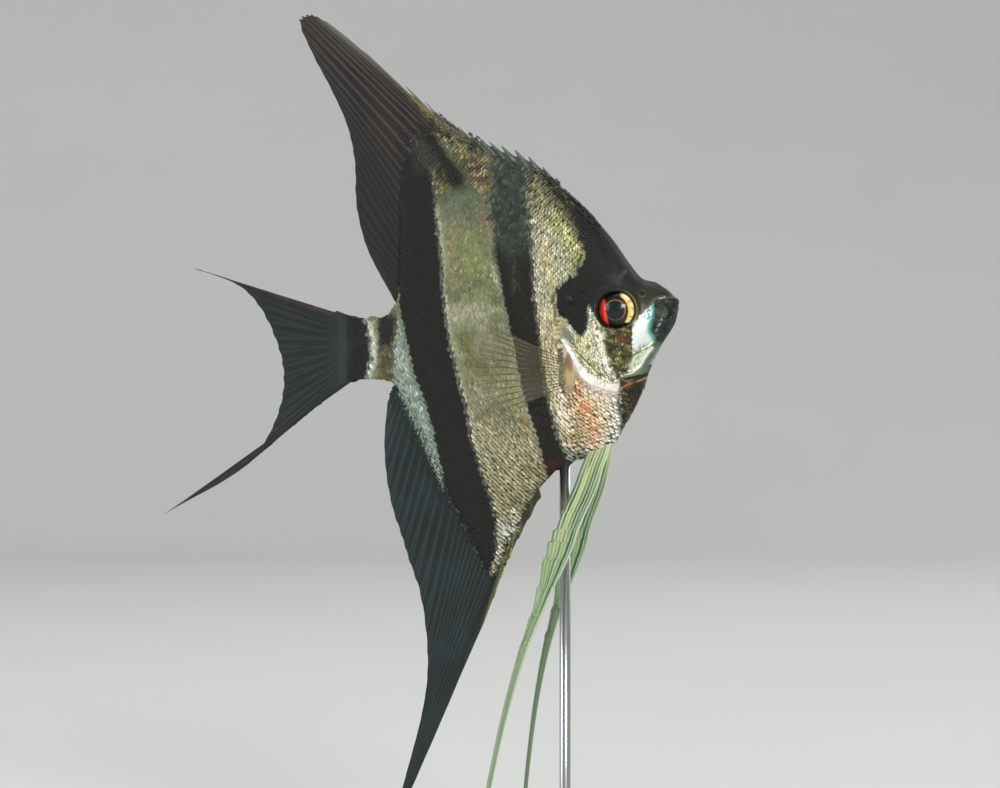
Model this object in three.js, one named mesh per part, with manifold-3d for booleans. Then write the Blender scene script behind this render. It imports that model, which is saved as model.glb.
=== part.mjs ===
// A freshwater angelfish (Pterophyllum), a still life-size model held by a plain display stand.
// Millimetres, +Z up. The head points along +X, the right flank faces -Y and the fish is mirrored
// across the plane y = 0. The origin is the centre of the underside of the round base.
import * as THREE from "three";
import { mergeVertices } from "three/addons/utils/BufferGeometryUtils.js";
import Module from "manifold-3d";

// ---- driving dimensions ----

const GAP = 0.3; // clearance between neighbouring pieces
const RIM = 0.5; // half thickness of the body along its outline, where the fins start
const FULLNESS = 0.62; // below 1 the sides of the body are rounder than a lens
const WIDEST = 0.52; // where the body is widest, from crest (0) to keel (1)
const BODY_STEPS = { along: 40, across: 12 };

// Stations from the lips to the root of the tail: crest and keel as [x, z], and half width.
const STATIONS = [
  { crest: [27.0, 148.3], keel: [27.0, 146.7], half: 1.6 },
  { crest: [25.1, 150.2], keel: [26.3, 144.1], half: 2.6 },
  { crest: [22.2, 151.8], keel: [24.6, 140.6], half: 3.6 },
  { crest: [18.7, 152.8], keel: [22.5, 136.2], half: 4.7 },
  { crest: [15.6, 156.3], keel: [20.4, 131.8], half: 5.7 },
  { crest: [11.8, 161.7], keel: [18.2, 125.8], half: 6.5 },
  { crest: [7.5, 166.7], keel: [15.1, 119.9], half: 7.0 },
  { crest: [2.4, 171.7], keel: [11.1, 114.3], half: 7.3 },
  { crest: [-4.1, 176.8], keel: [4.1, 111.2], half: 7.2 },
  { crest: [-12.1, 180.0], keel: [-3.4, 107.2], half: 6.8 },
  { crest: [-19.5, 183.2], keel: [-8.7, 100.0], half: 6.2 },
  { crest: [-26.9, 186.5], keel: [-13.5, 91.0], half: 5.3 },
  { crest: [-33.0, 185.9], keel: [-17.2, 84.0], half: 4.4 },
  { crest: [-38.5, 181.3], keel: [-20.1, 88.1], half: 3.7 },
  { crest: [-39.7, 174.6], keel: [-23.6, 95.2], half: 3.4 },
  { crest: [-40.0, 165.1], keel: [-28.6, 104.9], half: 3.3 },
  { crest: [-40.2, 155.1], keel: [-33.5, 115.5], half: 3.3 },
  { crest: [-41.0, 147.7], keel: [-38.5, 124.6], half: 3.1 },
  { crest: [-43.7, 144.4], keel: [-42.5, 129.1], half: 2.8 },
  { crest: [-47.5, 144.2], keel: [-47.0, 129.8], half: 2.4 },
  { crest: [-50.0, 144.0], keel: [-50.0, 129.6], half: 2.1 },
];

// Rays of a median fin, front to rear: the station it springs from and where it ends, [x, z].
const DORSAL_RAYS = [
  { at: 7.5, tip: [-1.9, 176.7] },
  { at: 8.3, tip: [-10.1, 182.7] },
  { at: 9.1, tip: [-17.7, 185.4] },
  { at: 9.9, tip: [-23.9, 188.2] },
  { at: 10.5, tip: [-29.3, 191.8] },
  { at: 10.9, tip: [-38.0, 198.5] },
  { at: 11.15, tip: [-60.1, 216.1] },
  { at: 11.6, tip: [-63.7, 217.4] },
  { at: 12.3, tip: [-65.7, 216.2] },
  { at: 13.2, tip: [-62.6, 208.2] },
  { at: 14.0, tip: [-58.0, 199.7] },
  { at: 14.7, tip: [-53.8, 190.4] },
  { at: 15.3, tip: [-52.0, 182.0] },
  { at: 15.9, tip: [-51.5, 171.3] },
  { at: 16.4, tip: [-49.0, 161.6] },
  { at: 16.8, tip: [-45.6, 154.9] },
  { at: 17.1, tip: [-42.2, 149.3] },
];
const ANAL_RAYS = [
  { at: 9.5, tip: [-5.8, 101.8] },
  { at: 10.2, tip: [-10.4, 93.4] },
  { at: 10.9, tip: [-14.6, 84.9] },
  { at: 11.3, tip: [-17.9, 76.0] },
  { at: 11.6, tip: [-24.3, 61.7] },
  { at: 11.8, tip: [-32.4, 43.4] },
  { at: 12.0, tip: [-39.8, 27.8] },
  { at: 12.4, tip: [-41.6, 25.6] },
  { at: 12.9, tip: [-39.8, 32.8] },
  { at: 13.3, tip: [-37.4, 41.2] },
  { at: 13.7, tip: [-35.2, 49.6] },
  { at: 14.1, tip: [-33.8, 58.0] },
  { at: 14.5, tip: [-33.8, 67.5] },
  { at: 15.0, tip: [-35.5, 78.9] },
  { at: 15.5, tip: [-38.2, 86.5] },
  { at: 16.0, tip: [-40.0, 92.0] },
  { at: 16.5, tip: [-42.3, 98.4] },
  { at: 17.0, tip: [-44.0, 106.7] },
  { at: 17.4, tip: [-44.5, 115.0] },
  { at: 17.8, tip: [-43.7, 124.0] },
];
const CAUDAL_TIPS = [
  [-94.0, 156.9],
  [-86.0, 154.4],
  [-79.9, 151.3],
  [-75.5, 146.5],
  [-72.0, 139.6],
  [-70.2, 133.2],
  [-70.1, 127.0],
  [-71.8, 120.4],
  [-74.9, 114.2],
  [-79.5, 108.6],
  [-100.6, 96.6],
];
const PELVIC = {
  front: [
    [12.0, 117.5],
    [8.6, 104.0],
    [5.0, 95.3],
    [3.3, 89.5],
    [-2.0, 77.6],
    [-6.5, 65.8],
    [-9.7, 54.0],
    [-12.1, 42.0],
    [-14.5, 26.0],
    [-15.2, 14.0],
  ],
  rear: [
    [6.2, 114.6],
    [3.0, 104.0],
    [-1.0, 95.0],
    [-3.2, 89.5],
    [-5.2, 77.5],
    [-8.4, 65.7],
    [-11.0, 54.0],
    [-13.2, 42.0],
    [-15.5, 26.0],
    [-16.1, 14.0],
  ],
  splay: 0.2, // how far out it runs for each millimetre down
  apex: 125.5, // how high the two fins would meet
};
const PECTORAL = {
  root: [
    [2.6, 133.8],
    [2.9, 130.6],
    [2.3, 127.2],
  ],
  tips: [
    [-11.5, 141.6],
    [-15.8, 139.8],
    [-18.6, 135.6],
    [-19.3, 130.0],
    [-17.2, 124.6],
    [-12.4, 120.6],
  ],
  rootY: 6.7,
  reach: 7.5, // how much further out from the flank the tips stand
};

const EYE = { x: 13.6, z: 145.4, radius: 4.4, depth: 2.8, y: 4.4 };
// The edge of the head, from the nape down behind the gill cover and forward to the throat.
const GILL_LINE = [
  [5.5, 172.0],
  [3.1, 158.3],
  [1.2, 147.9],
  [0.5, 140.9],
  [1.9, 135.8],
  [6.2, 131.3],
  [12.2, 128.3],
  [20.5, 127.4],
  [32.0, 127.4],
];
const GILL_COVER = [
  [7.6, 148.4],
  [4.3, 146.6],
  [2.2, 143.7],
  [1.4, 140.2],
  [2.4, 136.9],
  [5.6, 133.6],
  [10.2, 130.8],
  [15.2, 129.2],
  [18.2, 130.1],
  [16.6, 132.5],
  [12.6, 135.3],
  [9.3, 138.6],
  [7.8, 142.7],
];
const COVER_DEPTH = 2.4; // how near the middle of the head the gill covers reach
const MOUTH = [
  [34.0, 148.9],
  [27.0, 147.5],
  [24.9, 147.0],
  [23.0, 146.0],
];
const JAW_HINGE = { x: 21.8, top: 158, bottom: 132, slope: 0.16 };
const TAIL_CUT = -42.6;
const TAIL_ROOT = { top: 150, bottom: 120 };
const WAY = 40; // past every side of the fish

const BASE = { radius: 48, thickness: 8, edge: 1.2, belt: 5.4 };
const ROD = { radius: 1.3, top: 112 };
const EYE_STEPS = [16, 10];
const TURN_STEPS = 36;

// ---- materials ----

function material(color, roughness, metalness = 0) {
  return new THREE.MeshStandardMaterial({ color, roughness, metalness, flatShading: true });
}
const FLANK = material(0xa9a892, 0.42, 0.25);
const HEAD = material(0x55523a, 0.45, 0.15);
const COVER = material(0xd5d9cf, 0.3, 0.4);
const LIP = material(0x8f9490, 0.5);
const FIN = material(0x3f4548, 0.55);
const PALE_FIN = material(0xa3b48c, 0.55);
const CLEAR_FIN = material(0xb9bdb2, 0.4);
const IRIS = material(0x7b1f1a, 0.15);
const WOOD = material(0x3a2a20, 0.5);
const STEEL = material(0xb8babd, 0.3, 1);

// ---- small geometry helpers ----

const wasm = await Module();
wasm.setup();

// A closed three.js geometry as a manifold-3d solid.
function solid(geometry) {
  const bare = geometry.clone();
  bare.deleteAttribute("normal");
  bare.deleteAttribute("uv");
  const merged = mergeVertices(bare, 1e-4);
  const vertProperties = merged.attributes.position.array;
  const triVerts = new Uint32Array(merged.index.array);
  return new wasm.Manifold(new wasm.Mesh({ numProp: 3, vertProperties, triVerts }));
}

// A named mesh from a manifold-3d solid.
function named(name, manifold, look) {
  const mesh = manifold.getMesh();
  const geometry = new THREE.BufferGeometry();
  geometry.setAttribute("position", new THREE.BufferAttribute(mesh.vertProperties, 3));
  geometry.setIndex(Array.from(mesh.triVerts));
  geometry.computeVertexNormals();
  const piece = new THREE.Mesh(geometry, look);
  piece.name = name;
  return piece;
}

// A smooth path in the middle plane through [x, z] points.
function path(points, closed = false) {
  const spots = points.map(([x, z]) => new THREE.Vector3(x, 0, z));
  return new THREE.CatmullRomCurve3(spots, closed, "centripetal");
}

// A number that changes smoothly along a list of values, at a place from 0 to 1.
function smoothNumber(values) {
  const curve = path(values.map((value, i) => [i, value]));
  return (place) => curve.getPoint(place).z;
}

function flatPoints(curve, count) {
  return curve.getPoints(count).map((p) => [p.x, p.z]);
}

// A closed solid through rings of equally many points. Each ring runs out along one side and back
// along the other, so both ends are closed by a ladder of quads from side to side.
function loft(rings) {
  const count = rings[0].length;
  const last = (rings.length - 1) * count;
  const faces = [];
  const quad = (a, b, c, d) => faces.push(a, b, c, a, c, d);
  for (let r = 0; r < last; r += count) {
    for (let i = 0; i < count; i += 1) {
      const j = (i + 1) % count;
      quad(r + i, r + j, r + j + count, r + i + count);
    }
  }
  for (let i = 0; i + 1 < count / 2; i += 1) {
    const [a, b, c, d] = [i, i + 1, count - 2 - i, count - 1 - i];
    quad(b, a, d, c);
    quad(last + a, last + b, last + c, last + d);
  }
  const geometry = new THREE.BufferGeometry().setFromPoints(rings.flat());
  geometry.setIndex(faces);
  const made = solid(geometry);
  if (made.volume() > 0) return made;
  geometry.setIndex(faces.reverse());
  return solid(geometry);
}

// The outline moved outward by a distance; points run anticlockwise seen from the right flank.
function grown(outline, distance) {
  return outline.map((point, i) => {
    const before = outline[(i + outline.length - 1) % outline.length];
    const after = outline[(i + 1) % outline.length];
    const along = new THREE.Vector2(after[0] - before[0], after[1] - before[1]).normalize();
    return [point[0] + along.y * distance, point[1] - along.x * distance];
  });
}

// A prism over an outline of [x, z] points, from y = near to y = far.
function prism(outline, near = -WAY, far = WAY) {
  const shape = new THREE.Shape(outline.map(([x, z]) => new THREE.Vector2(x, z)));
  const geometry = new THREE.ExtrudeGeometry(shape, { depth: far - near, bevelEnabled: false });
  return solid(geometry.rotateX(Math.PI / 2).translate(0, far, 0));
}

function anticlockwise(outline) {
  const area = THREE.ShapeUtils.area(outline.map(([x, z]) => new THREE.Vector2(x, z)));
  return area < 0 ? outline.slice().reverse() : outline;
}

function mirrored(manifold) {
  return manifold.mirror([0, 1, 0]);
}

// ---- the body ----

const crest = path(STATIONS.map((s) => s.crest));
const keel = path(STATIONS.map((s) => s.keel));
const girth = smoothNumber(STATIONS.map((s) => s.half));
const LAST = STATIONS.length - 1;

// How far the flank stands from the middle plane, at a place along and across the body.
function halfWidth(along, across) {
  const widest = girth(along);
  const reach = across < WIDEST ? (WIDEST - across) / WIDEST : (across - WIDEST) / (1 - WIDEST);
  return RIM + (widest - RIM) * Math.max(0, 1 - reach ** 2) ** FULLNESS;
}

function body(extra = 0) {
  const rings = [];
  for (let i = 0; i <= BODY_STEPS.along; i += 1) {
    const along = i / BODY_STEPS.along;
    const top = crest.getPoint(along);
    const bottom = keel.getPoint(along);
    const out = bottom.clone().sub(top).normalize().multiplyScalar(extra);
    top.sub(out);
    bottom.add(out);
    const flank = [];
    for (let j = 0; j <= BODY_STEPS.across; j += 1) {
      const across = (1 - Math.cos((Math.PI * j) / BODY_STEPS.across)) / 2;
      const point = top.clone().lerp(bottom, across);
      point.y = halfWidth(along, across) + extra;
      flank.push(point);
    }
    const other = flank.map((p) => new THREE.Vector3(p.x, -p.y, p.z)).reverse();
    rings.push([...flank, ...other]);
  }
  return loft(rings);
}

// Everything within a gap of the body's outline, as seen from the side.
function bodyShadow() {
  const edge = [crest, keel].map((curve) => flatPoints(curve, BODY_STEPS.along));
  return prism(grown(anticlockwise([...edge[0], ...edge[1].reverse()]), GAP));
}

// The part of a solid inside an outline, and the rest with a gap between them.
function split(whole, outline) {
  return [whole.intersect(prism(outline)), whole.subtract(prism(grown(outline, GAP)))];
}

const silhouette = bodyShadow();
const headOutline = anticlockwise([
  ...flatPoints(path(GILL_LINE), 16),
  [WAY, GILL_LINE[0][1] + WAY],
  [GILL_LINE[0][0], GILL_LINE[0][1] + WAY],
]);
const tailOutline = anticlockwise([
  [TAIL_CUT, TAIL_ROOT.top],
  [TAIL_CUT, TAIL_ROOT.bottom],
  [TAIL_CUT - WAY, TAIL_ROOT.bottom],
  [TAIL_CUT - WAY, TAIL_ROOT.top],
]);
const coverOutline = anticlockwise(flatPoints(path(GILL_COVER, true), 26).slice(1));

// A jaw reaches from the mouth line to a slanting hinge line, up or down to a height.
function jawOutline(height) {
  const corner = MOUTH[MOUTH.length - 1];
  const hingeX = (z) => JAW_HINGE.x + (corner[1] - z) * JAW_HINGE.slope;
  const hinge = [corner[1], height].map((z) => [hingeX(z), z]);
  return anticlockwise([...flatPoints(path(MOUTH), 6), ...hinge, [WAY, height]]);
}

function eyeball(extra) {
  const ball = new THREE.SphereGeometry(1, ...EYE_STEPS);
  ball.rotateX(Math.PI / 2);
  ball.scale(EYE.radius + extra, EYE.depth + extra, EYE.radius + extra);
  return solid(ball.translate(EYE.x, EYE.y, EYE.z));
}

function headPieces(whole) {
  const upperJaw = jawOutline(JAW_HINGE.top);
  const lowerJaw = jawOutline(JAW_HINGE.bottom);
  const [front, behind] = split(whole, headOutline);
  const [upper, belowUpper] = split(front, upperJaw);
  const [lower, skull] = split(belowUpper, lowerJaw);
  const cover = skull.intersect(prism(coverOutline, COVER_DEPTH));
  const slot = prism(grown(coverOutline, GAP), COVER_DEPTH - GAP);
  const socket = eyeball(GAP);
  const openings = slot.add(socket);
  const head = skull.subtract(openings).subtract(mirrored(openings));
  return { head, upper, lower, cover, behind };
}

// ---- fins ----

// A thin closed sheet over columns of rays. place(across, out) is its middle surface, both from
// 0 to 1, and half(across, out, onRay) is half its thickness there.
function finSheet({ columns, steps, place, half }) {
  const rings = [];
  const tiny = 1e-3;
  for (let c = 0; c <= columns; c += 1) {
    const across = c / columns;
    const near = [];
    const away = [];
    for (let s = 0; s <= steps; s += 1) {
      const out = s / steps;
      const spot = place(across, out);
      const [left, right] = [Math.max(0, across - tiny), Math.min(1, across + tiny)];
      const over = place(right, out).sub(place(left, out));
      const [low, high] = [Math.max(0, out - tiny), Math.min(1, out + tiny)];
      const up = place(across, high).sub(place(across, low));
      const normal = over.cross(up).normalize().multiplyScalar(half(across, out, c % 2 === 0));
      near.push(spot.clone().add(normal));
      away.push(spot.clone().sub(normal));
    }
    rings.push([...near, ...away.reverse()]);
  }
  return loft(rings);
}

const RAY = { root: 0.7, tip: 0.32 };
const WEB = { root: 0.5, tip: 0.26 };
function rayed(across, out, onRay) {
  const size = onRay ? RAY : WEB;
  return THREE.MathUtils.lerp(size.root, size.tip, out);
}

// A dorsal or anal fin, whose rays spring from the body's crest or keel.
function medianFin(rays, edge, { columns, steps, spines, notch }) {
  const at = smoothNumber(rays.map((r) => r.at / LAST));
  const tips = path(rays.map((r) => r.tip));
  const place = (across, out) => {
    const start = edge.getPoint(at(across));
    const column = Math.round(across * columns);
    const web = column % 2 === 1 && across < spines;
    const reach = web ? 1 - notch : 1;
    return start.lerp(tips.getPoint(across), out * reach);
  };
  return finSheet({ columns, steps, place, half: rayed }).subtract(silhouette);
}

function caudalFin({ columns, steps }) {
  const tips = path(CAUDAL_TIPS);
  const [top, bottom] = [crest.getPoint(1), keel.getPoint(1)];
  const place = (across, out) => {
    const start = top.clone().lerp(bottom, 0.02 + 0.96 * across);
    start.x -= GAP;
    return start.lerp(tips.getPoint(across), out);
  };
  return finSheet({ columns, steps, place, half: rayed });
}

function pelvicFin({ columns, steps }) {
  const [front, rear] = [path(PELVIC.front), path(PELVIC.rear)];
  const place = (across, out) => {
    const spot = front.getPoint(out).lerp(rear.getPoint(out), across);
    spot.y = -PELVIC.splay * (PELVIC.apex - spot.z);
    return spot;
  };
  const half = (across, out, onRay) => rayed(across, Math.min(1, out * 2), onRay);
  return finSheet({ columns, steps, place, half });
}

function pectoralFin({ columns, steps }) {
  const [root, tips] = [path(PECTORAL.root), path(PECTORAL.tips)];
  const place = (across, out) => {
    const start = root.getPoint(across);
    const end = tips.getPoint(across);
    start.y = -PECTORAL.rootY;
    end.y = -PECTORAL.rootY - PECTORAL.reach;
    return start.lerp(end, out);
  };
  const half = (across, out, onRay) => (onRay ? 0.34 : 0.26);
  return finSheet({ columns, steps, place, half });
}

// ---- the stand ----

function standBase() {
  const { radius, thickness, edge, belt } = BASE;
  const profile = [
    [0, 0],
    [radius - edge, 0],
    [radius, edge],
    [radius, belt],
    [radius - edge, belt + edge],
    [radius - 3 * edge, thickness],
    [0, thickness],
  ];
  const points = profile.map((p) => new THREE.Vector2(...p));
  return solid(new THREE.LatheGeometry(points, TURN_STEPS).rotateX(Math.PI / 2));
}

function standRod(bodyRoom) {
  const length = ROD.top - BASE.thickness - GAP;
  const rod = new THREE.CylinderGeometry(ROD.radius, ROD.radius, length, 16);
  rod.rotateX(Math.PI / 2).translate(0, 0, BASE.thickness + GAP + length / 2);
  return solid(rod).subtract(bodyRoom);
}

// ---- assembly ----

const room = body(GAP);
const { head, upper, lower, cover, behind } = headPieces(body());
const [tailRoot, trunk] = split(behind, tailOutline);
const eye = eyeball(0);
const dorsal = medianFin(DORSAL_RAYS, crest, { columns: 68, steps: 3, spines: 0.36, notch: 0.3 });
const anal = medianFin(ANAL_RAYS, keel, { columns: 52, steps: 3, spines: 0.26, notch: 0.06 });
const tail = caudalFin({ columns: 32, steps: 3 });
const pelvic = pelvicFin({ columns: 6, steps: 12 }).subtract(room);
const pectoral = pectoralFin({ columns: 12, steps: 2 }).subtract(room);

const angelfish = new THREE.Group();
angelfish.add(
  named("head", head, HEAD),
  named("upper_jaw", upper, LIP),
  named("lower_jaw", lower, LIP),
  named("gill_cover_left", cover, COVER),
  named("gill_cover_right", mirrored(cover), COVER),
  named("eye_left", eye, IRIS),
  named("eye_right", mirrored(eye), IRIS),
  named("trunk", trunk, FLANK),
  named("tail_root", tailRoot, FLANK),
  named("dorsal_fin", dorsal, FIN),
  named("anal_fin", anal, FIN),
  named("tail_fin", tail, FIN),
  named("pelvic_fin_left", mirrored(pelvic), PALE_FIN),
  named("pelvic_fin_right", pelvic, PALE_FIN),
  named("pectoral_fin_left", mirrored(pectoral), CLEAR_FIN),
  named("pectoral_fin_right", pectoral, CLEAR_FIN),
);

const stand = new THREE.Group();
stand.add(
  named("stand_base", standBase(), WOOD),
  named("stand_rod", standRod(room), STEEL),
);

const model = new THREE.Group();
model.add(angelfish, stand);
export default model;
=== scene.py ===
# %% [markdown]
# # A freshwater angelfish, life size, on a display stand
# An angelfish is a thin, tall disc of a fish: a silvery flank crossed by black bars, two sail-like
# fins above and below it, and a pair of pale feelers for pelvic fins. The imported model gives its
# true size and the place of every part, so it is loaded first and never moved. Everything made
# below rides on it and takes its place: a skin, scales, rayed fins, eyes and a turned stand.

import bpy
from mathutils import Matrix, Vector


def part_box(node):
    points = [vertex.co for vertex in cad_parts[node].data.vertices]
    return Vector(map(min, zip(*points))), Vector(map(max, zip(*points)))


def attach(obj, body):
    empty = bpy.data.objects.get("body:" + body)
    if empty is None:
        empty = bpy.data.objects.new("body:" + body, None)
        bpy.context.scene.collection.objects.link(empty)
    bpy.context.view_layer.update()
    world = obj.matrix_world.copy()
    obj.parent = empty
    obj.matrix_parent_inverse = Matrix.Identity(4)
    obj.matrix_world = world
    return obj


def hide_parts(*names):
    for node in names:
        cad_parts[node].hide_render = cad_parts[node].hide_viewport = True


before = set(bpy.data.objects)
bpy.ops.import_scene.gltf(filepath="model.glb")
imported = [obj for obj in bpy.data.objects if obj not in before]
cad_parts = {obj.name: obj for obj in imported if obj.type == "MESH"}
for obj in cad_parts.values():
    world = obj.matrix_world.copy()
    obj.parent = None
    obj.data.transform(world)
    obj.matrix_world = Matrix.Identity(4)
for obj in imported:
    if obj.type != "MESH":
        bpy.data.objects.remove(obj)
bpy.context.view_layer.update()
print("frame nodes:", len(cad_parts))

# %% [markdown]
# ## Tools that every step shares
# Shapes are worked out in millimetres as numpy arrays, because a fish is easier to think of in
# millimetres, and turned into metres only where a mesh is made. Colours are written as sRGB hex
# values and turned to linear light once. One function adds a shader node with its settings and
# links, which keeps each material short enough to read.

# %% Units, colours and shader nodes
import math

import bpy
import numpy as np
from mathutils import Vector
from mathutils.bvhtree import BVHTree

MM = 0.001  # metres in a millimetre
rng = np.random.default_rng(11)


def linear(hex_colour):
    """Linear red, green and blue of an sRGB hex colour."""
    srgb = np.array([int(hex_colour[i : i + 2], 16) / 255 for i in (1, 3, 5)])
    return np.where(srgb <= 0.04045, srgb / 12.92, ((srgb + 0.055) / 1.055) ** 2.4)


def rgba(hex_colour):
    """The same with a fourth number, for a shader's socket."""
    return (*linear(hex_colour), 1.0)


def add(tree, kind, settings=None, links=None):
    """A new shader node. Keys are names of settings, or names or numbers of sockets."""
    node = tree.nodes.new(kind)
    for key, value in (settings or {}).items():
        if isinstance(key, int) or key in node.inputs:
            node.inputs[key].default_value = value
        else:
            setattr(node, key, value)
    for key, source in (links or {}).items():
        socket = source.outputs[0] if isinstance(source, bpy.types.Node) else source
        tree.links.new(socket, node.inputs[key])
    return node


MULTIPLIED = {"data_type": "RGBA", "blend_type": "MULTIPLY", 0: 1.0}  # a mix that multiplies colours


def new_material(name):
    """A material with only an output, and its node tree."""
    material = bpy.data.materials.new(name)
    material.use_nodes = True
    tree = material.node_tree
    tree.nodes.clear()
    return material, tree


def per_mm(size):
    """The scale of a pattern whose features are that many millimetres apart."""
    return 1 / (size * MM)


print("black bar in linear light:", linear("#2d312e").round(3))

# %% Meshes from arrays
def make_piece(name, points, faces, material, slot):
    """A smooth mesh object from points in millimetres and an array of triangles or quads."""
    mesh = bpy.data.meshes.new(name)
    sides = faces.shape[1]
    mesh.vertices.add(len(points))
    mesh.vertices.foreach_set("co", (np.asarray(points) * MM).astype(np.float32).ravel())
    mesh.loops.add(faces.size)
    mesh.loops.foreach_set("vertex_index", faces.astype(np.int32).ravel())
    mesh.polygons.add(len(faces))
    mesh.polygons.foreach_set("loop_start", np.arange(0, faces.size, sides, dtype=np.int32))
    mesh.update(calc_edges=True)
    mesh.validate()
    mesh.shade_smooth()
    mesh.materials.append(material)
    piece = bpy.data.objects.new(name, mesh)
    bpy.context.scene.collection.objects.link(piece)
    if slot:
        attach(piece, "root")
    return piece


def store(piece, name, values):
    """Keeps one number or one colour for each point of a piece, for its material to read."""
    values = np.asarray(values, np.float32)
    if values.ndim == 1:
        attribute = piece.data.attributes.new(name, "FLOAT", "POINT")
        attribute.data.foreach_set("value", values)
    else:
        colour = np.ones((len(values), 4), np.float32)
        colour[:, :3] = values
        attribute = piece.data.attributes.new(name, "FLOAT_COLOR", "POINT")
        attribute.data.foreach_set("color", colour.ravel())


def bake_map(piece, uv):
    """The flat map OFBake, from one place for each point of the piece."""
    corners = np.zeros(len(piece.data.loops), np.int32)
    piece.data.loops.foreach_get("vertex_index", corners)
    layer = piece.data.uv_layers.new(name="OFBake")
    layer.data.foreach_set("uv", np.asarray(uv, np.float32)[corners].ravel())


def grid_faces(rows, columns, wrap=False):
    """Quads over a grid of points stored row by row, closed into a tube if it wraps."""
    numbers = np.arange(rows * columns).reshape(rows, columns)
    if wrap:
        numbers = np.hstack([numbers, numbers[:, :1]])
    corners = numbers[:-1, :-1], numbers[:-1, 1:], numbers[1:, 1:], numbers[1:, :-1]
    return np.stack([c.ravel() for c in corners], axis=1)


print("a tube of 3 rings of 4 points has", len(grid_faces(3, 4, wrap=True)), "quads")

# %% Curves, noise and marks on a flat plan
def smooth_curve(points):
    """A centripetal Catmull-Rom curve through points, as a function of the point's number."""
    points = np.asarray(points, float)
    ends = 2 * points[0] - points[1], 2 * points[-1] - points[-2]
    knots = np.vstack([ends[0], points, ends[1]])

    def at(place):
        place = np.clip(np.asarray(place, float), 0, len(points) - 1)
        first = np.minimum(place.astype(int), len(points) - 2)
        t = (place - first)[..., None]
        p0, p1, p2, p3 = (knots[first + i] for i in range(4))
        d0, d1, d2 = (
            np.sqrt(np.linalg.norm(b - a, axis=-1, keepdims=True)) + 1e-9
            for a, b in ((p0, p1), (p1, p2), (p2, p3))
        )
        leave = ((p1 - p0) / d0 - (p2 - p0) / (d0 + d1) + (p2 - p1) / d1) * d1
        arrive = ((p2 - p1) / d1 - (p3 - p1) / (d1 + d2) + (p3 - p2) / d2) * d1
        bend = 3 * (p2 - p1) - 2 * leave - arrive
        turn = 2 * (p1 - p2) + leave + arrive
        return p1 + leave * t + bend * t**2 + turn * t**3

    return at


def ramp(value, low, high):
    """Rises smoothly from 0 at low to 1 at high."""
    t = np.clip((value - low) / (high - low), 0, 1)
    return t * t * (3 - 2 * t)


NOISE_TABLE = rng.random((64, 64))


def noise(x, z, size, shift):
    """Smooth random numbers from 0 to 1, that change over about size millimetres."""
    u, v = x / size + 17.3 * shift, z / size + 5.9 * shift
    i, j = np.floor(u).astype(int), np.floor(v).astype(int)
    a, b = ramp(u - i, 0, 1), ramp(v - j, 0, 1)
    corner = [NOISE_TABLE[(i + di) % 64, (j + dj) % 64] for di in (0, 1) for dj in (0, 1)]
    return (corner[0] * (1 - b) + corner[1] * b) * (1 - a) + (corner[2] * (1 - b) + corner[3] * b) * a


def line_distance(line, x, z):
    """Distance from places to a line through points, and on which side of it they are."""
    line = np.asarray(line, float)
    best = np.full(x.shape, np.inf)
    side = np.zeros(x.shape)
    for a, b in zip(line[:-1], line[1:]):
        step = b - a
        t = np.clip(((x - a[0]) * step[0] + (z - a[1]) * step[1]) / (step @ step), 0, 1)
        dx, dz = x - a[0] - t * step[0], z - a[1] - t * step[1]
        away = np.hypot(dx, dz)
        nearer = away < best
        best = np.where(nearer, away, best)
        side = np.where(nearer, np.sign(step[0] * dz - step[1] * dx), side)
    return best, side


def zone(outline, x, z, soft):
    """1 inside an outline, 0 outside, changing over a soft edge in millimetres."""
    closed = [*outline, outline[0]]
    distance, _ = line_distance(closed, x, z)
    inside = np.zeros(x.shape, bool)
    for (ax, az), (bx, bz) in zip(closed[:-1], closed[1:]):
        if az == bz:
            continue
        crosses = (az > z) != (bz > z)
        inside ^= crosses & (x < (bx - ax) * (z - az) / (bz - az) + ax)
    return ramp(np.where(inside, distance, -distance), -soft, soft)


def stroke(line, x, z, width):
    """1 along a line, fading to 0 about a width away."""
    return np.exp(-((line_distance(line, x, z)[0] / width) ** 2))


middle = smooth_curve([(0, 0), (1, 1), (2, 0)])(0.5)
print("halfway along the first span of a test curve:", middle.round(3))

# %% [markdown]
# ## Camera, studio and light
# A museum model is shown in even light. The fish is seen a little from ahead of its right flank,
# level with its body, with a long lens, so its fins keep their true lengths. The studio is a bowl
# of matte paper: a flat floor that curves up into a wall all round, so that no corner or horizon
# crosses the picture from any side. Large soft lamps give each scale a small bright edge.

# %% Camera
CAMERA = {"turn": math.radians(15), "distance": 656, "aim": Vector((-15.8, 0, 126)), "lens": 100}

lens = bpy.data.cameras.new("camera")
lens.lens = CAMERA["lens"]
lens.sensor_width = 36
lens.clip_start = 0.01
camera = bpy.data.objects.new("camera", lens)
bpy.context.scene.collection.objects.link(camera)
back = Vector((math.sin(CAMERA["turn"]), -math.cos(CAMERA["turn"]), 0))
camera.location = (CAMERA["aim"] + back * CAMERA["distance"]) * MM
camera.rotation_euler = (-back).to_track_quat("-Z", "Y").to_euler()
bpy.context.scene.camera = camera
bpy.context.scene.view_settings.view_transform = "Standard"
print("camera stands at", [round(c, 3) for c in camera.location])

# %% Paper studio
STUDIO = {"floor": 1500, "curve": 500, "height": 2200}


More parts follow.
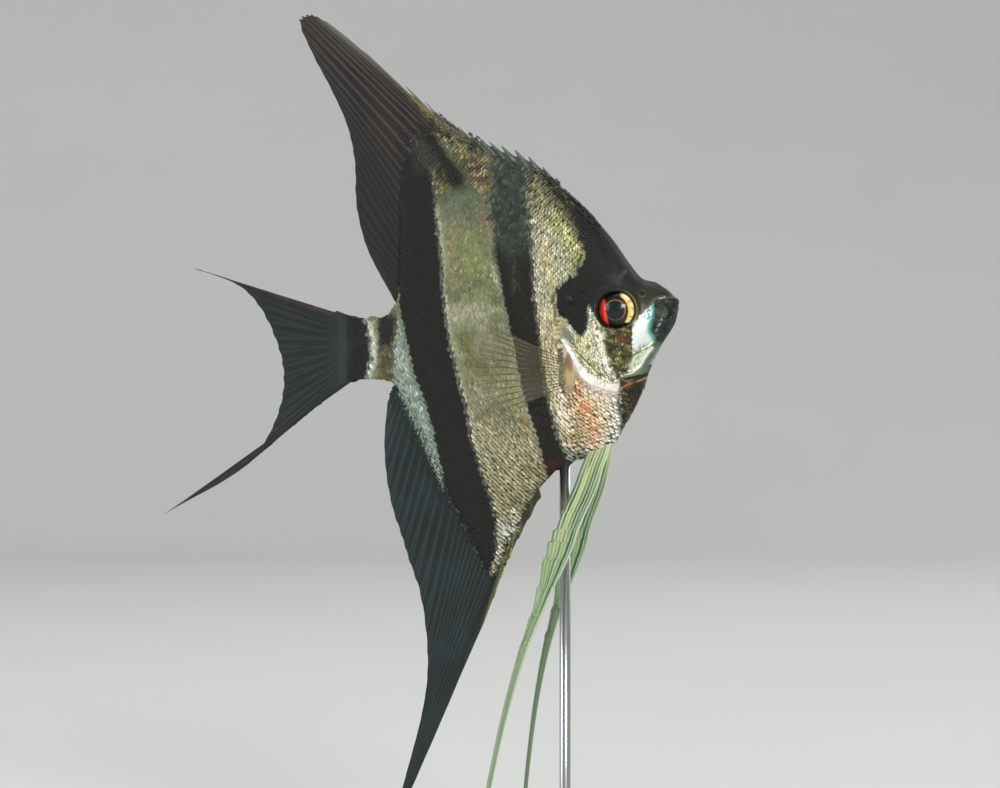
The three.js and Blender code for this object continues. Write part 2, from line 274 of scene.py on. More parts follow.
def turned(profile, steps):
    """Points and faces of a profile of [radius, z] turned round the Z axis."""
    profile = np.asarray(profile, float)
    angle = np.linspace(0, 2 * np.pi, steps, endpoint=False)
    around = np.stack([np.cos(angle), np.sin(angle)], axis=1)
    flat = profile[:, None, :1] * around[None]
    height = np.broadcast_to(profile[:, None, 1:], (*flat.shape[:2], 1))
    points = np.concatenate([flat, height], axis=2).reshape(-1, 3)
    return points, grid_faces(len(profile), steps, wrap=True)


paper, tree = new_material("matte_studio_paper")
fibres = add(tree, "ShaderNodeTexNoise", {"Scale": per_mm(40), "Detail": 3})
greys = {"data_type": "RGBA", 6: rgba("#d9dad8"), 7: rgba("#dfdfdd")}
tone = add(tree, "ShaderNodeMix", greys, {0: fibres})
shader = add(tree, "ShaderNodeBsdfPrincipled", {"Roughness": 0.9}, {"Base Color": tone.outputs[2]})
add(tree, "ShaderNodeOutputMaterial", links={"Surface": shader})

bend = np.linspace(0, np.pi / 2, 16)
bowl = [[0.5, 0], [STUDIO["floor"] / 2, 0]]
bowl += [
    [STUDIO["floor"] + STUDIO["curve"] * math.sin(b), STUDIO["curve"] * (1 - math.cos(b))]
    for b in bend
]
bowl.append([STUDIO["floor"] + STUDIO["curve"], STUDIO["height"]])
studio = make_piece("studio_paper", *turned(bowl, 96), paper, None)
print("studio is", 2 * (STUDIO["floor"] + STUDIO["curve"]) / 1000, "m across")


# %% Lamps
def soft_lamp(name, place, size, power, tint="#ffffff", spread=180):
    """A square lamp, in millimetres, watts and degrees, that faces the middle of the fish."""
    data = bpy.data.lights.new(name, "AREA")
    data.size = size * MM
    data.energy = power
    data.spread = math.radians(spread)
    data.color = linear(tint)
    lamp = bpy.data.objects.new(name, data)
    lamp.location = Vector(place) * MM
    aim = CAMERA["aim"] * MM - lamp.location
    lamp.rotation_euler = aim.to_track_quat("-Z", "Y").to_euler()
    lamp.visible_camera = False
    bpy.context.scene.collection.objects.link(lamp)


soft_lamp("lamp_front", (700, -1050, 650), 420, 4.75, "#fffaf2", spread=120)
soft_lamp("lamp_side", (-1150, -600, 500), 700, 6, "#f4f8ff")
soft_lamp("lamp_above", (-100, 300, 1700), 1100, 9)
soft_lamp("lamp_behind", (500, 1250, 1100), 900, 5)
world = bpy.data.worlds.new("studio_air")
world.use_nodes = True
world.node_tree.nodes["Background"].inputs[0].default_value = rgba("#e9ecef")
world.node_tree.nodes["Background"].inputs[1].default_value = 0.4
bpy.context.scene.world = world
print("lamps:", [lamp.name for lamp in bpy.data.lights])

# %% [markdown]
# ## The plan of the body
# The body is lofted through stations: at each one a straight line runs from the crest of the back
# to the keel of the belly, and the flank swells out from it. The stations are the frame's own, in
# its millimetres, with two more that taper into the tail fin. The lips are station 0 and the root
# of the tail is station 20, so a place on the flank is a station and a share of the way down.

# %% Stations of the body
STATIONS = [  # crest x, crest z, keel x, keel z, half width
    (27.0, 148.3, 27.0, 146.7, 1.6),
    (25.1, 150.2, 26.3, 144.1, 2.6),
    (22.2, 151.8, 24.6, 140.6, 3.6),
    (18.7, 152.8, 22.5, 136.2, 4.7),
    (15.6, 156.3, 20.4, 131.8, 5.7),
    (11.8, 161.7, 18.2, 125.8, 6.5),
    (7.5, 166.7, 15.1, 119.9, 7.0),
    (2.4, 171.7, 11.1, 114.3, 7.3),
    (-4.1, 176.8, 4.1, 111.2, 7.2),
    (-12.1, 180.0, -3.4, 107.2, 6.8),
    (-19.5, 183.2, -8.7, 100.0, 6.2),
    (-26.9, 186.5, -13.5, 91.0, 5.3),
    (-33.0, 185.9, -17.2, 84.0, 4.4),
    (-38.5, 181.3, -20.1, 88.1, 3.7),
    (-39.7, 174.6, -23.6, 95.2, 3.4),
    (-40.0, 165.1, -28.6, 104.9, 3.3),
    (-40.2, 155.1, -33.5, 115.5, 3.3),
    (-41.0, 147.7, -38.5, 124.6, 3.1),
    (-43.7, 144.4, -42.5, 129.1, 2.8),
    (-47.5, 144.2, -47.0, 129.8, 2.4),
    (-50.0, 144.0, -50.0, 129.6, 2.1),
    (-53.2, 144.8, -53.2, 128.8, 1.0),
    (-56.4, 145.9, -56.4, 127.7, 0.28),
]
RIM = 0.5  # half thickness along the crest and the keel
FULLNESS = 0.62
WIDEST = 0.52
TAIL_END = len(STATIONS) - 1

stations = np.array(STATIONS)
crest = smooth_curve(stations[:, 0:2])
keel = smooth_curve(stations[:, 2:4])
girth = smooth_curve(np.stack([np.arange(len(stations)), stations[:, 4]], axis=1))


def flank(station, across):
    """Points of the right flank, before its skin is sculpted."""
    top, bottom = crest(station), keel(station)
    plan = top + (bottom - top) * across[..., None]
    ahead, behind = (WIDEST - across) / WIDEST, (across - WIDEST) / (1 - WIDEST)
    reach = np.where(across < WIDEST, ahead, behind)
    rim = np.minimum(RIM, girth(station)[..., 1])
    swell = (girth(station)[..., 1] - rim) * np.maximum(0, 1 - reach**2) ** FULLNESS
    return np.stack([plan[..., 0], -(rim + swell), plan[..., 1]], axis=-1)


spots = flank(np.linspace(0, 20, 400)[:, None], np.linspace(0, 1, 100)[None])
trunk_box = [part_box("head")[1].x * 1000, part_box("trunk")[0].z * 1000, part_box("trunk")[1].z * 1000]
print("snout, keel, crest of the plan:", spots[..., 0].max(), spots[..., 2].min(), spots[..., 2].max())
print("snout, keel, crest of the frame:", [round(v, 1) for v in trunk_box])

# %% [markdown]
# ## The skin's relief
# Under its scales a fish's head is a set of thin bones and folds: lips that slide forward, a plate
# before the eye, a ridge on the cheek, and a gill cover whose free edge stands off the shoulder.
# Each is a line on the side view, and a function gives how far the skin rises or sinks near it.
# That keeps the whole head in one surface, with no seams between pieces.

# %% Folds and edges of the head
EYE = {"x": 13.6, "z": 145.4, "radius": 4.4, "depth": 2.8, "out": 4.4}
LIP_BONE = {"x": 23.7, "z": 145.1, "radius": 1.75}
FIN_LOBE = {"x": 2.5, "z": 131.0, "along": 1.1, "up": 4.6}
NOSTRIL = (19.4, 149.4)

UPPER_LIP = [(27.3, 148.2), (25.6, 147.9), (24.3, 147.2), (23.5, 146.3)]
LOWER_LIP = [(27.2, 146.4), (26.2, 145.4), (25.4, 144.2), (24.7, 143.0)]
MOUTH_LINE = [(28.2, 147.4), (26.8, 146.8), (25.9, 145.6), (25.3, 144.3), (24.6, 143.5)]
LIP_FOLD = [(21.8, 147.0), (22.7, 148.0), (24.2, 148.6), (26.0, 148.5)]
JAW_EDGE = [(22.3, 146.6), (22.1, 144.0), (21.9, 142.0), (22.4, 140.2), (23.2, 138.7)]
JAW_FOLD = [(24.7, 143.0), (23.9, 141.2), (23.5, 139.2)]
CHEEK_PLATE = [(22.4, 139.6), (22.0, 138.2), (20.7, 137.0), (19.0, 136.0), (17.4, 135.4)]
MIRROR_EDGE = [(22.1, 146.3), (22.0, 144.3), (21.2, 142.6), (21.0, 140.9), (21.5, 139.3), (22.2, 138.2)]
JAW_LINE = [(21.6, 136.7), (19.9, 134.3), (18.8, 132.3), (17.3, 130.9), (14.8, 130.1)]
CHIN_FOLD = [(23.2, 137.6), (22.0, 135.6), (20.8, 133.6), (19.7, 131.4), (18.4, 129.8)]
THROAT_FOLD = [(13.7, 129.5), (16.1, 129.2), (18.6, 129.8), (20.2, 130.9)]
CHEEK_RIDGE = [(8.1, 146.2), (9.3, 142.6), (10.4, 138.6), (11.5, 134.8), (12.6, 131.4), (13.8, 129.2)]
INNER_BAND = [(2.6, 138.7), (4.6, 136.6), (6.4, 134.2), (8.4, 132.1), (10.6, 130.4), (13.0, 129.2)]
GILL_EDGE = [
    (5.2, 148.2), (3.2, 146.4), (1.3, 144.2), (0.3, 141.4), (0.8, 138.3), (1.8, 136.6), (2.9, 134.9),
    (3.7, 133.4), (4.8, 130.9), (6.0, 129.3), (7.8, 128.1), (10.0, 127.2), (12.4, 126.4),
    (15.0, 126.6), (18.8, 127.6),
]


def from_spot(spot, x, z):
    """Distance from the middle of an eye, a bone or a lobe, in its own radii."""
    dx, dz = x - spot["x"], z - spot["z"]
    return np.hypot(dx / spot.get("along", spot.get("radius")), dz / spot.get("up", spot.get("radius")))


def relief(x, z):
    """How far the skin stands out from the plan of the body, in millimetres."""
    folds = (
        (UPPER_LIP, 0.4, 0.8), (LOWER_LIP, 0.4, 0.7), (MOUTH_LINE, -0.7, 0.28),
        (LIP_FOLD, -0.15, 0.35), (JAW_EDGE, -0.3, 0.28), (JAW_FOLD, -0.25, 0.3),
        (CHEEK_PLATE, -0.35, 0.25), (MIRROR_EDGE, 0.2, 0.5), (JAW_LINE, 0.3, 0.3),
        (CHIN_FOLD, -0.3, 0.35), (THROAT_FOLD, -0.3, 0.28), (CHEEK_RIDGE, 0.3, 0.8),
        (INNER_BAND, -0.3, 0.4),
    )  # a line, how far it stands out, and how wide it is
    out = sum(height * stroke(line, x, z, width) for line, height, width in folds)
    # The bone of the lip is a low disc in a shallow ring.
    disc = from_spot(LIP_BONE, x, z)
    out += 0.18 * ramp(-disc, -1.1, -0.6) - 0.16 * np.exp(-(((disc - 1.1) / 0.18) ** 2))
    # The gill cover stands proud up to its free edge, and the shoulder sinks a little behind it.
    edge, side = line_distance(GILL_EDGE, x, z)
    out += np.where(side > 0, 0.4 * np.exp(-edge / 2.4), -0.05 * np.exp(-edge / 0.9))
    # A rim of skin stands round the eye, and the socket is 3 mm deep.
    away = np.hypot(x - EYE["x"], z - EYE["z"])
    out += 0.3 * np.exp(-(((away - EYE["radius"] - 0.5) / 0.5) ** 2))
    out -= 3.0 * ramp(-away, -EYE["radius"] - 0.02, -EYE["radius"] + 0.55)
    # The nostril is a pit in a low mound, and the root of the pectoral fin is a soft lobe.
    pit = np.hypot(x - NOSTRIL[0], z - NOSTRIL[1])
    out += 0.12 * np.exp(-(((pit - 0.55) / 0.25) ** 2)) - 0.5 * np.exp(-((pit / 0.3) ** 2))
    return out + 0.6 * ramp(-from_spot(FIN_LOBE, x, z), -1.3, -0.6)


print("the deepest fold sinks", relief(spots[..., 0], spots[..., 2]).min().round(2), "mm")

# %% [markdown]
# ## Markings
# Black comes from pigment cells and silver from guanine, a crystal that works like tiny mirrors. So
# each place has a colour and a shine. The markings are named outlines on the side view, laid one
# over another like a painter's glazes, and the same function colours both the skin and the scales.
# Real edges are ragged, since a pigment cell or a scale is either dark or pale, so fine noise
# breaks up the edge of each marking.

# %% Outlines of the trunk's markings
BAR_TWO = [
    (-16.7, 185.0), (-16.6, 171.6), (-15.0, 157.4), (-12.9, 148.0), (-10.5, 136.3), (-8.2, 124.6),
    (-5.4, 115.3), (-3.6, 106.0), (1.5, 108.5), (-0.3, 115.3), (-1.8, 122.3), (-3.2, 131.6),
    (-5.0, 145.6), (-6.0, 154.9), (-6.4, 160.0), (-6.7, 165.0), (-7.3, 170.4), (-8.4, 176.4),
    (-10.6, 184.0),
]
BAR_THREE = [
    (-36.4, 184.6), (-46.0, 186.0), (-46.0, 160.5), (-41.2, 157.6), (-40.8, 152.0),
    (-39.3, 145.0), (-37.5, 137.6), (-35.8, 130.5),
    (-33.4, 124.6), (-31.5, 117.5), (-30.0, 110.4), (-29.0, 103.2), (-29.4, 97.3), (-26.0, 89.0),
    (-19.5, 78.0), (-16.0, 89.3), (-15.8, 96.4), (-16.8, 101.1), (-19.1, 108.1), (-21.3, 115.2),
    (-22.5, 122.2), (-24.4, 129.3), (-26.9, 138.7), (-28.2, 148.2), (-29.2, 160.0), (-30.7, 171.9),
    (-32.2, 178.6), (-35.0, 181.4),
]
BAR_GAPS = [
    [(-30.2, 170.0), (-28.8, 160.0), (-28.0, 148.0), (-26.6, 138.5), (-24.2, 129.3), (-22.3, 122.2)],
    [(-22.3, 122.2), (-21.0, 115.2), (-18.8, 108.1)],
    [(-15.6, 156.0), (-13.2, 148.0), (-10.9, 136.3), (-8.6, 124.6), (-5.9, 115.3)],
]
FORE_BAND = [
    (-10.6, 182.0), (-8.4, 171.4), (-7.4, 159.6), (-6.1, 154.9), (-5.0, 145.6), (-3.2, 131.6),
    (-1.8, 122.3), (-0.3, 115.3), (1.5, 106.0), (12.0, 110.0), (15.5, 129.5), (9.0, 131.0),
    (3.0, 137.0), (1.0, 146.0), (6.4, 157.5), (4.4, 163.0), (2.5, 172.0), (-1.5, 178.0),
]
SHOULDER_EDGE = [(-10.1, 178.6), (-7.4, 174.6), (-3.9, 171.2), (0.4, 166.6), (4.2, 160.8), (5.8, 156.4)]
SHOULDER_SHADE = [(-8.4, 182.0), (-4.4, 178.2), (-1.4, 174.2), (1.8, 170.6), (4.8, 166.0)]
CHEST = [
    (1.6, 138.0), (-1.4, 134.0), (0.0, 122.0), (1.0, 111.0), (10.0, 110.0), (12.6, 112.9),
    (14.2, 122.0), (14.6, 128.2), (8.0, 129.0), (4.0, 134.0),
]
CHEST_SHADE = [(3.8, 124.0), (4.6, 120.6), (4.4, 117.0)]
ORANGE_FLUSH = [(4.6, 127.6), (5.6, 124.4), (7.1, 121.0), (8.2, 117.0), (8.0, 115.0)]
BELLY_SHADE = [(0.3, 113.4), (5.8, 112.6), (5.6, 107.0), (-0.5, 107.0)]
KEEL_STRIP = [
    (-39.8, 148.8), (-39.2, 144.2), (-39.6, 141.0), (-40.4, 137.6), (-41.0, 134.0), (-41.8, 130.0),
    (-42.0, 126.0), (-24.0, 90.0), (-20.0, 86.0), (-28.4, 103.2), (-31.5, 117.5), (-33.4, 124.6),
    (-35.8, 130.5), (-37.3, 136.2), (-37.7, 141.4), (-39.0, 147.1),
]
KEEL_LINE = [(-39.9, 158.6), (-39.8, 148.3)]
KEEL_SHADE = [
    (-42.0, 126.4), (-39.0, 120.6), (-36.0, 114.0), (-32.8, 107.4), (-29.6, 101.0), (-24.4, 91.0),
]
LOW_GLITTER = [
    (-20.0, 118.0), (-10.0, 119.0), (-4.0, 111.0), (-5.0, 103.0), (-13.0, 102.0), (-18.0, 106.0),
]
BELLY_TIP = [(-16.2, 98.5), (-8.0, 100.0), (-14.0, 86.0), (-17.4, 80.0)]
BACK_BLOTCH = [(-33.4, 188.0), (-30.9, 184.3), (-29.0, 181.6), (-27.1, 178.9), (-25.4, 176.5)]
TAIL_WRIST = [(-45.2, 146.0), (-40.6, 146.0), (-41.0, 129.0), (-45.4, 129.0)]
TAIL_BLOTCH = [(-45.7, 144.6), (-40.2, 144.4), (-40.6, 140.0), (-41.8, 137.6), (-44.6, 137.4)]
TAIL_LINE = [(-50.2, 144.6), (-47.8, 142.4), (-46.3, 138.6), (-46.1, 134.2), (-48.0, 129.6)]
TAIL_BAR = [
    (-50.4, 146.0), (-48.2, 142.8), (-46.9, 138.8), (-46.7, 134.1), (-49.0, 128.6), (-57.0, 126.0),
    (-57.0, 148.0),
]
BAND_HUES = [  # soft patches: colour, amount, width in millimetres, and the line they follow
    ("#5f6a58", 0.7, 3.0, [(-26.5, 172.6), (-22.0, 171.4), (-20.0, 169.0)]),
    ("#7c8350", 0.8, 3.2, [(-22.6, 160.0), (-20.4, 155.0)]),
    ("#6f7550", 0.6, 1.6, [(-24.6, 154.0), (-23.6, 147.6)]),
    ("#a3a488", 0.7, 2.6, [(-24.4, 144.0), (-19.0, 144.6)]),
    # painted shadow: this dark olive patch behind the pectoral fin stands for the shadow of its rays
    ("#6c6d3c", 0.8, 1.5, [(-23.8, 139.4), (-21.8, 134.8), (-18.2, 131.2)]),
    ("#8f9154", 0.7, 1.5, [(-14.6, 131.4), (-10.8, 128.1), (-9.6, 124.6)]),
    ("#8a7238", 0.75, 1.2, [(-8.4, 122.7), (-7.6, 116.4)]),
    ("#7b6a3a", 0.6, 1.6, [(-17.2, 104.8), (-11.4, 103.6)]),
]
SHOULDER_HUES = [
    ("#c0b28a", 0.85, 2.6, [(-0.6, 146.0), (-1.8, 139.0), (-1.4, 131.0), (0.6, 124.0)]),
    ("#969b62", 0.65, 2.0, [(-1.6, 166.4), (1.6, 162.6), (4.4, 159.2), (5.4, 156.6)]),
    ("#b9a878", 0.5, 1.4, [(-3.6, 160.4), (-2.6, 155.6), (-1.4, 150.4)]),
    ("#6f9a80", 0.5, 1.0, [(5.6, 155.6), (4.0, 152.9), (1.4, 150.2)]),
    ("#5a7565", 0.8, 1.1, [(-7.4, 162.6), (-6.2, 159.8), (-8.8, 157.4)]),
]
FLECKS = [  # single scales tinged red or brown, scattered along these lines
    ("#93603f", 0.7, [(-26.5, 164.4), (-26.4, 158.8), (-25.4, 154.0)]),
    ("#8e6150", 1.2, [(-21.5, 181.0), (-19.3, 174.0), (-18.4, 168.0), (-17.4, 161.6)]),
    ("#9c7264", 1.1, [(-5.6, 168.6), (-4.4, 160.5), (-3.2, 154.6)]),
]
GOLD_BACK = [
    (-42.6, 202.0), (-34.0, 194.6), (-28.0, 189.6), (-22.0, 186.0), (-17.6, 180.4), (-17.0, 173.0),
    (-19.0, 172.4), (-21.8, 177.0), (-25.6, 182.4), (-30.4, 188.6),
]
FIN_FOOT = [
    (-42.0, 196.0), (-36.0, 191.0), (-31.6, 185.2), (-29.8, 181.4), (-31.0, 179.0), (-36.0, 178.0),
]
GOLD_REAR = [
    (-31.4, 180.2), (-29.4, 181.6), (-27.6, 178.4), (-26.6, 175.2), (-29.6, 171.5), (-30.8, 175.5),
]
print("the third bar is", round(max(z for x, z in BAR_THREE) - min(z for x, z in BAR_THREE)), "mm tall")

# %% Outlines of the head's markings
NAPE = [
    (-1.6, 180.0), (-1.1, 175.0), (2.5, 171.5), (3.6, 165.5), (4.6, 161.8), (6.4, 158.3),
    (5.9, 156.4), (4.0, 153.6), (0.7, 151.3), (-0.2, 149.5), (-0.4, 147.1), (0.1, 144.4),
    (2.0, 143.4), (2.9, 142.0), (4.1, 140.6), (5.3, 139.3), (6.0, 139.1), (7.0, 140.8), (7.5, 143.1),
    (7.3, 145.2), (7.6, 147.1), (8.1, 145.8), (9.1, 143.6), (10.4, 141.6), (13.4, 140.6),
    (17.0, 141.4), (18.6, 144.8), (19.0, 148.0), (20.6, 153.0), (16.0, 160.0), (12.0, 166.0),
    (6.0, 174.0),
]
SNOUT = [
    (18.8, 151.6), (18.0, 146.4), (18.8, 144.2), (22.0, 147.0), (28.4, 148.6), (25.4, 152.4),
    (20.0, 155.0),
]
CHEEK = [
    (2.6, 142.4), (4.1, 140.6), (5.3, 139.2), (6.0, 139.0), (7.0, 140.6), (7.9, 142.0), (7.3, 145.0),
    (7.6, 147.2), (8.3, 145.8), (9.1, 143.8), (10.3, 142.0), (11.8, 139.8), (11.0, 138.3),
    (11.4, 136.2), (12.3, 133.9), (12.9, 131.6), (13.6, 129.6), (14.6, 128.2), (12.6, 128.8),
    (9.2, 130.2), (7.0, 132.2), (5.3, 134.6), (3.4, 137.8), (2.4, 140.0),
]
SPIKE = [
    (7.7, 147.0), (7.7, 143.6), (8.6, 140.6), (9.6, 137.6), (10.4, 134.6), (11.6, 131.8), (13.2, 129.0),
]
EYE_BAR = [
    (11.2, 141.6), (11.8, 139.6), (11.0, 138.3), (11.4, 136.2), (12.3, 133.9), (12.9, 131.6),
    (13.7, 129.8), (16.6, 130.4), (16.4, 132.2), (17.0, 134.4), (17.4, 136.2), (17.4, 138.8),
    (17.7, 141.8),
]
CHEEK_MIRROR = [
    (21.8, 146.8), (20.8, 145.8), (19.8, 144.8), (18.5, 143.3), (17.5, 141.7), (17.2, 139.6),
    (17.4, 137.3), (17.3, 135.4), (19.0, 136.2), (20.7, 137.0), (21.8, 138.0), (22.2, 139.4),
    (22.0, 140.6), (21.3, 139.4), (21.0, 140.9), (21.2, 142.6), (21.9, 144.3), (22.0, 146.3),
]
JAW_MIRROR = [
    (21.9, 137.4), (20.6, 136.6), (19.0, 135.6), (17.5, 134.8), (16.7, 133.0), (16.2, 131.4),
    (17.5, 131.2), (18.8, 132.5), (19.9, 134.3), (21.0, 136.0),
]
LIPS = [
    (22.0, 147.4), (25.0, 148.9), (28.6, 149.0), (28.6, 146.0), (22.0, 130.0), (19.0, 130.4),
    (20.4, 134.0), (22.2, 138.2), (21.4, 141.0), (22.2, 144.0),
]
THROAT = [
    (14.2, 129.6), (20.8, 131.0), (20.0, 125.0), (14.6, 115.0), (12.4, 112.6), (13.6, 118.8),
    (14.3, 123.4),
]
GILL_BAND = [
    (0.8, 138.6), (1.7, 136.7), (2.8, 134.7), (3.6, 133.0), (4.6, 130.9), (5.7, 129.3), (7.4, 128.0),
    (9.6, 127.0), (12.0, 126.3), (13.8, 127.4), (12.6, 128.6), (11.0, 129.0), (9.0, 129.9),
    (6.9, 131.4), (5.3, 133.2), (4.1, 135.2), (2.7, 137.4), (1.5, 138.8),
]
GILL_END = [(7.6, 127.2), (10.0, 126.6), (12.6, 126.2)]
GILL_SKIN = [(1.0, 141.0), (2.9, 141.2), (4.0, 139.2), (3.4, 138.0), (1.0, 139.0)]
GILL_FLAP = [(0.3, 142.0), (1.0, 143.2), (1.5, 141.6)]
FLAP_EDGE = [(2.1, 143.5), (2.8, 142.4), (2.9, 141.2)]
GREY_BAND = [(3.7, 138.2), (5.4, 136.3), (7.3, 134.4), (9.1, 132.4), (11.0, 130.8)]
MIRROR_RIM = [(21.9, 146.4), (21.8, 144.4), (21.2, 142.4), (21.0, 140.4), (21.9, 138.7)]
THROAT_STREAK = [(14.7, 127.4), (16.0, 128.2), (17.7, 128.8), (18.9, 129.3), (20.2, 130.2)]
CHIN_BAND = [(22.9, 137.4), (21.7, 135.6), (20.6, 133.8), (19.5, 131.6)]
CHIN_RIM = [(23.7, 137.5), (22.0, 134.9), (20.6, 132.4)]
LIP_GLINTS = [
    [(23.6, 143.2), (24.7, 144.4)], [(22.4, 140.8), (23.4, 142.2)], [(22.8, 147.9), (24.2, 148.5)],
]
print("the black of the nape reaches from x", min(NAPE)[0], "to", max(NAPE)[0], "mm")

# %% Glazes, and the noise that tears their edges
def mixed(colours, hex_colour, amount):
    """Linear colours moved towards one colour by an amount at each point."""
    return colours + (linear(hex_colour) - colours) * np.clip(amount, 0, 1)[..., None]


def glazed(base, *glazes):
    """Linear colours of a base coat under glazes, each a hex colour and its amount."""
    colours = linear(base)
    for hex_colour, amount in glazes:
        colours = mixed(colours, hex_colour, amount)
    return colours


def fine_noise(x, z):
    """Noise as fine as a cluster of pigment cells, from 0 to 1."""
    return noise(x, z, 0.42, 3)


def coarse_noise(x, z):
    """Noise about as coarse as one scale, from 0 to 1."""
    return noise(x, z, 1.1, 4)


def ragged(outline, x, z, soft, rough=0.5):
    """1 inside an outline, 0 outside, with an edge that fine noise has torn."""
    share = zone(outline, x, z, soft)
    torn = rough * (fine_noise(x, z) - 0.5) * (share > 0) * (share < 1)
    return ramp(share + torn, 0.3, 0.7)


def painted(x, z, areas):
    """Linear colour and shine once each area has laid its glazes over the olive ground."""
    colour = np.tile(linear("#818563"), (len(x), 1))
    shine = np.full(len(x), 0.38)
    for area in areas:
        for hex_colour, amount, *gloss in area(x, z):
            colour = mixed(colour, hex_colour, amount)
            if gloss:
                shine += (gloss[0] - shine) * np.clip(amount, 0, 1)
    return colour, shine


def show(title, area, x, z):
    """Prints the colour and the shine that one area gives a place."""
    colour, shine = painted(np.array([float(x)]), np.array([float(z)]), [area])
    print(title, "in linear light:", colour[0].round(3), "shine", shine[0].round(2))


print("fine noise at the eye:", fine_noise(np.array([13.6]), np.array([145.4])).round(2))

# %% Pale band, shoulder and chest
# Each area hands over its glazes in turn: a colour, how much of it, and its shine where it has one.
def gold_ground(x, z):
    """Where the gold lies along the base of the back fin, from 0 to 1."""
    return np.maximum(zone(GOLD_BACK, x, z, 1.4), zone(GOLD_REAR, x, z, 1.2))


def gold_dust(x, z):
    """The fine flecks of that gold, from 0 to 1."""
    return gold_ground(x, z) * ramp(noise(x, z, 0.55, 5), 0.4, 0.7)


def pale_band(x, z):
    """Silver and olive between the bars, gold by the back fin, silver by the anal fin."""
    grain = fine_noise(x, z)
    coarse = coarse_noise(x, z)
    yield "#918c6d", ramp(-z, -137, -112), 0.68
    yield "#5c6350", 0.8 * ramp(z, 158, 176), 0.25
    for hex_colour, amount, width, line in BAND_HUES:
        yield hex_colour, amount * stroke(line, x, z, width) * (0.7 + 0.6 * coarse)
    yield "#565a3f", 0.5 * ramp(noise(x, z, 3.2, 6), 0.45, 0.9)
    yield "#a9aa8c", 0.4 * ramp(noise(x, z, 2.3, 7), 0.55, 0.9) * ramp(-z, -160, -150)
    yield "#8f8a6c", 0.5 * zone(LOW_GLITTER, x, z, 4.0), 0.75
    for line in BAR_GAPS:
        yield "#aaac96", 0.8 * stroke(line, x, z, 0.6) * (0.4 + coarse), 0.7
    yield "#343427", 0.95 * gold_ground(x, z), 0.6
    yield "#958b55", 0.6 * gold_dust(x, z), 0.8
    yield "#87968a", ragged(KEEL_STRIP, x, z, 0.6), 0.8
    shade = 1.5 * stroke(KEEL_SHADE, x, z, 1.3) + 0.5 * (grain - 0.5)
    yield "#343d38", 0.95 * ramp(shade, 0.3, 0.8), 0.15
    yield "#77796b", stroke(KEEL_LINE, x, z, 0.35)
    yield "#b3b6a8", 0.8 * zone(BELLY_TIP, x, z, 1.5) * ramp(coarse, 0.3, 0.7), 1.0


def shoulder(x, z):
    """The pale shoulder between the second bar and the head, dark along the back."""
    grain = fine_noise(x, z)
    coarse = coarse_noise(x, z)
    yield "#9a9a82", ragged(FORE_BAND, x, z, 0.4), 0.65
    yield "#58522f", 0.9 * stroke(SHOULDER_EDGE, x, z, 4.0) * zone(FORE_BAND, x, z, 0.4), 0.65
    shade = np.minimum(1, 1.5 * stroke(SHOULDER_SHADE, x, z, 2.0))
    yield "#1f2019", shade * (0.8 + 0.2 * ramp(-grain, -0.6, -0.4)), 0.15
    for hex_colour, amount, width, line in SHOULDER_HUES:
        yield hex_colour, amount * stroke(line, x, z, width) * (0.5 + coarse)
    for hex_colour, width, line in FLECKS:
        yield hex_colour, 0.45 * stroke(line, x, z, width) * ramp(noise(x, z, 0.9, 21), 0.35, 0.8)


def chest(x, z):
    """The bright chest, flushed with orange."""
    coarse = coarse_noise(x, z)
    yield "#cfc0a4", ragged(CHEST, x, z, 1.2), 0.95
    front_edge = [(13.4, 127.6), (14.0, 122.6), (12.6, 116.4), (7.4, 114.0)]
    yield "#dfe4de", 0.85 * stroke(front_edge, x, z, 1.4), 0.95
    yield "#6fa6aa", 0.7 * stroke([(14.2, 126.8), (14.5, 121.8)], x, z, 0.6)
    yield "#8c7f5c", 0.8 * stroke(CHEST_SHADE, x, z, 1.3), 0.4
    yield "#c99a72", 0.75 * stroke(ORANGE_FLUSH, x, z, 2.6) * (0.6 + 0.8 * coarse), 0.8
    yield "#c47f4c", 0.5 * stroke(ORANGE_FLUSH, x, z, 1.4) * ramp(coarse, 0.2, 0.6), 0.7
    yield "#f4e8e0", 0.9 * stroke(GILL_END, x, z, 1.4), 0.6
    yield "#7f7648", 0.7 * stroke([(1.4, 116.6), (3.9, 115.2)], x, z, 1.3), 0.4
    yield "#566e6b", 0.9 * zone(BELLY_SHADE, x, z, 1.3) * (0.6 + 0.6 * coarse), 0.4


show("pale band", pale_band, -20, 140)
show("shoulder", shoulder, 0, 150)
show("chest", chest, 8, 120)

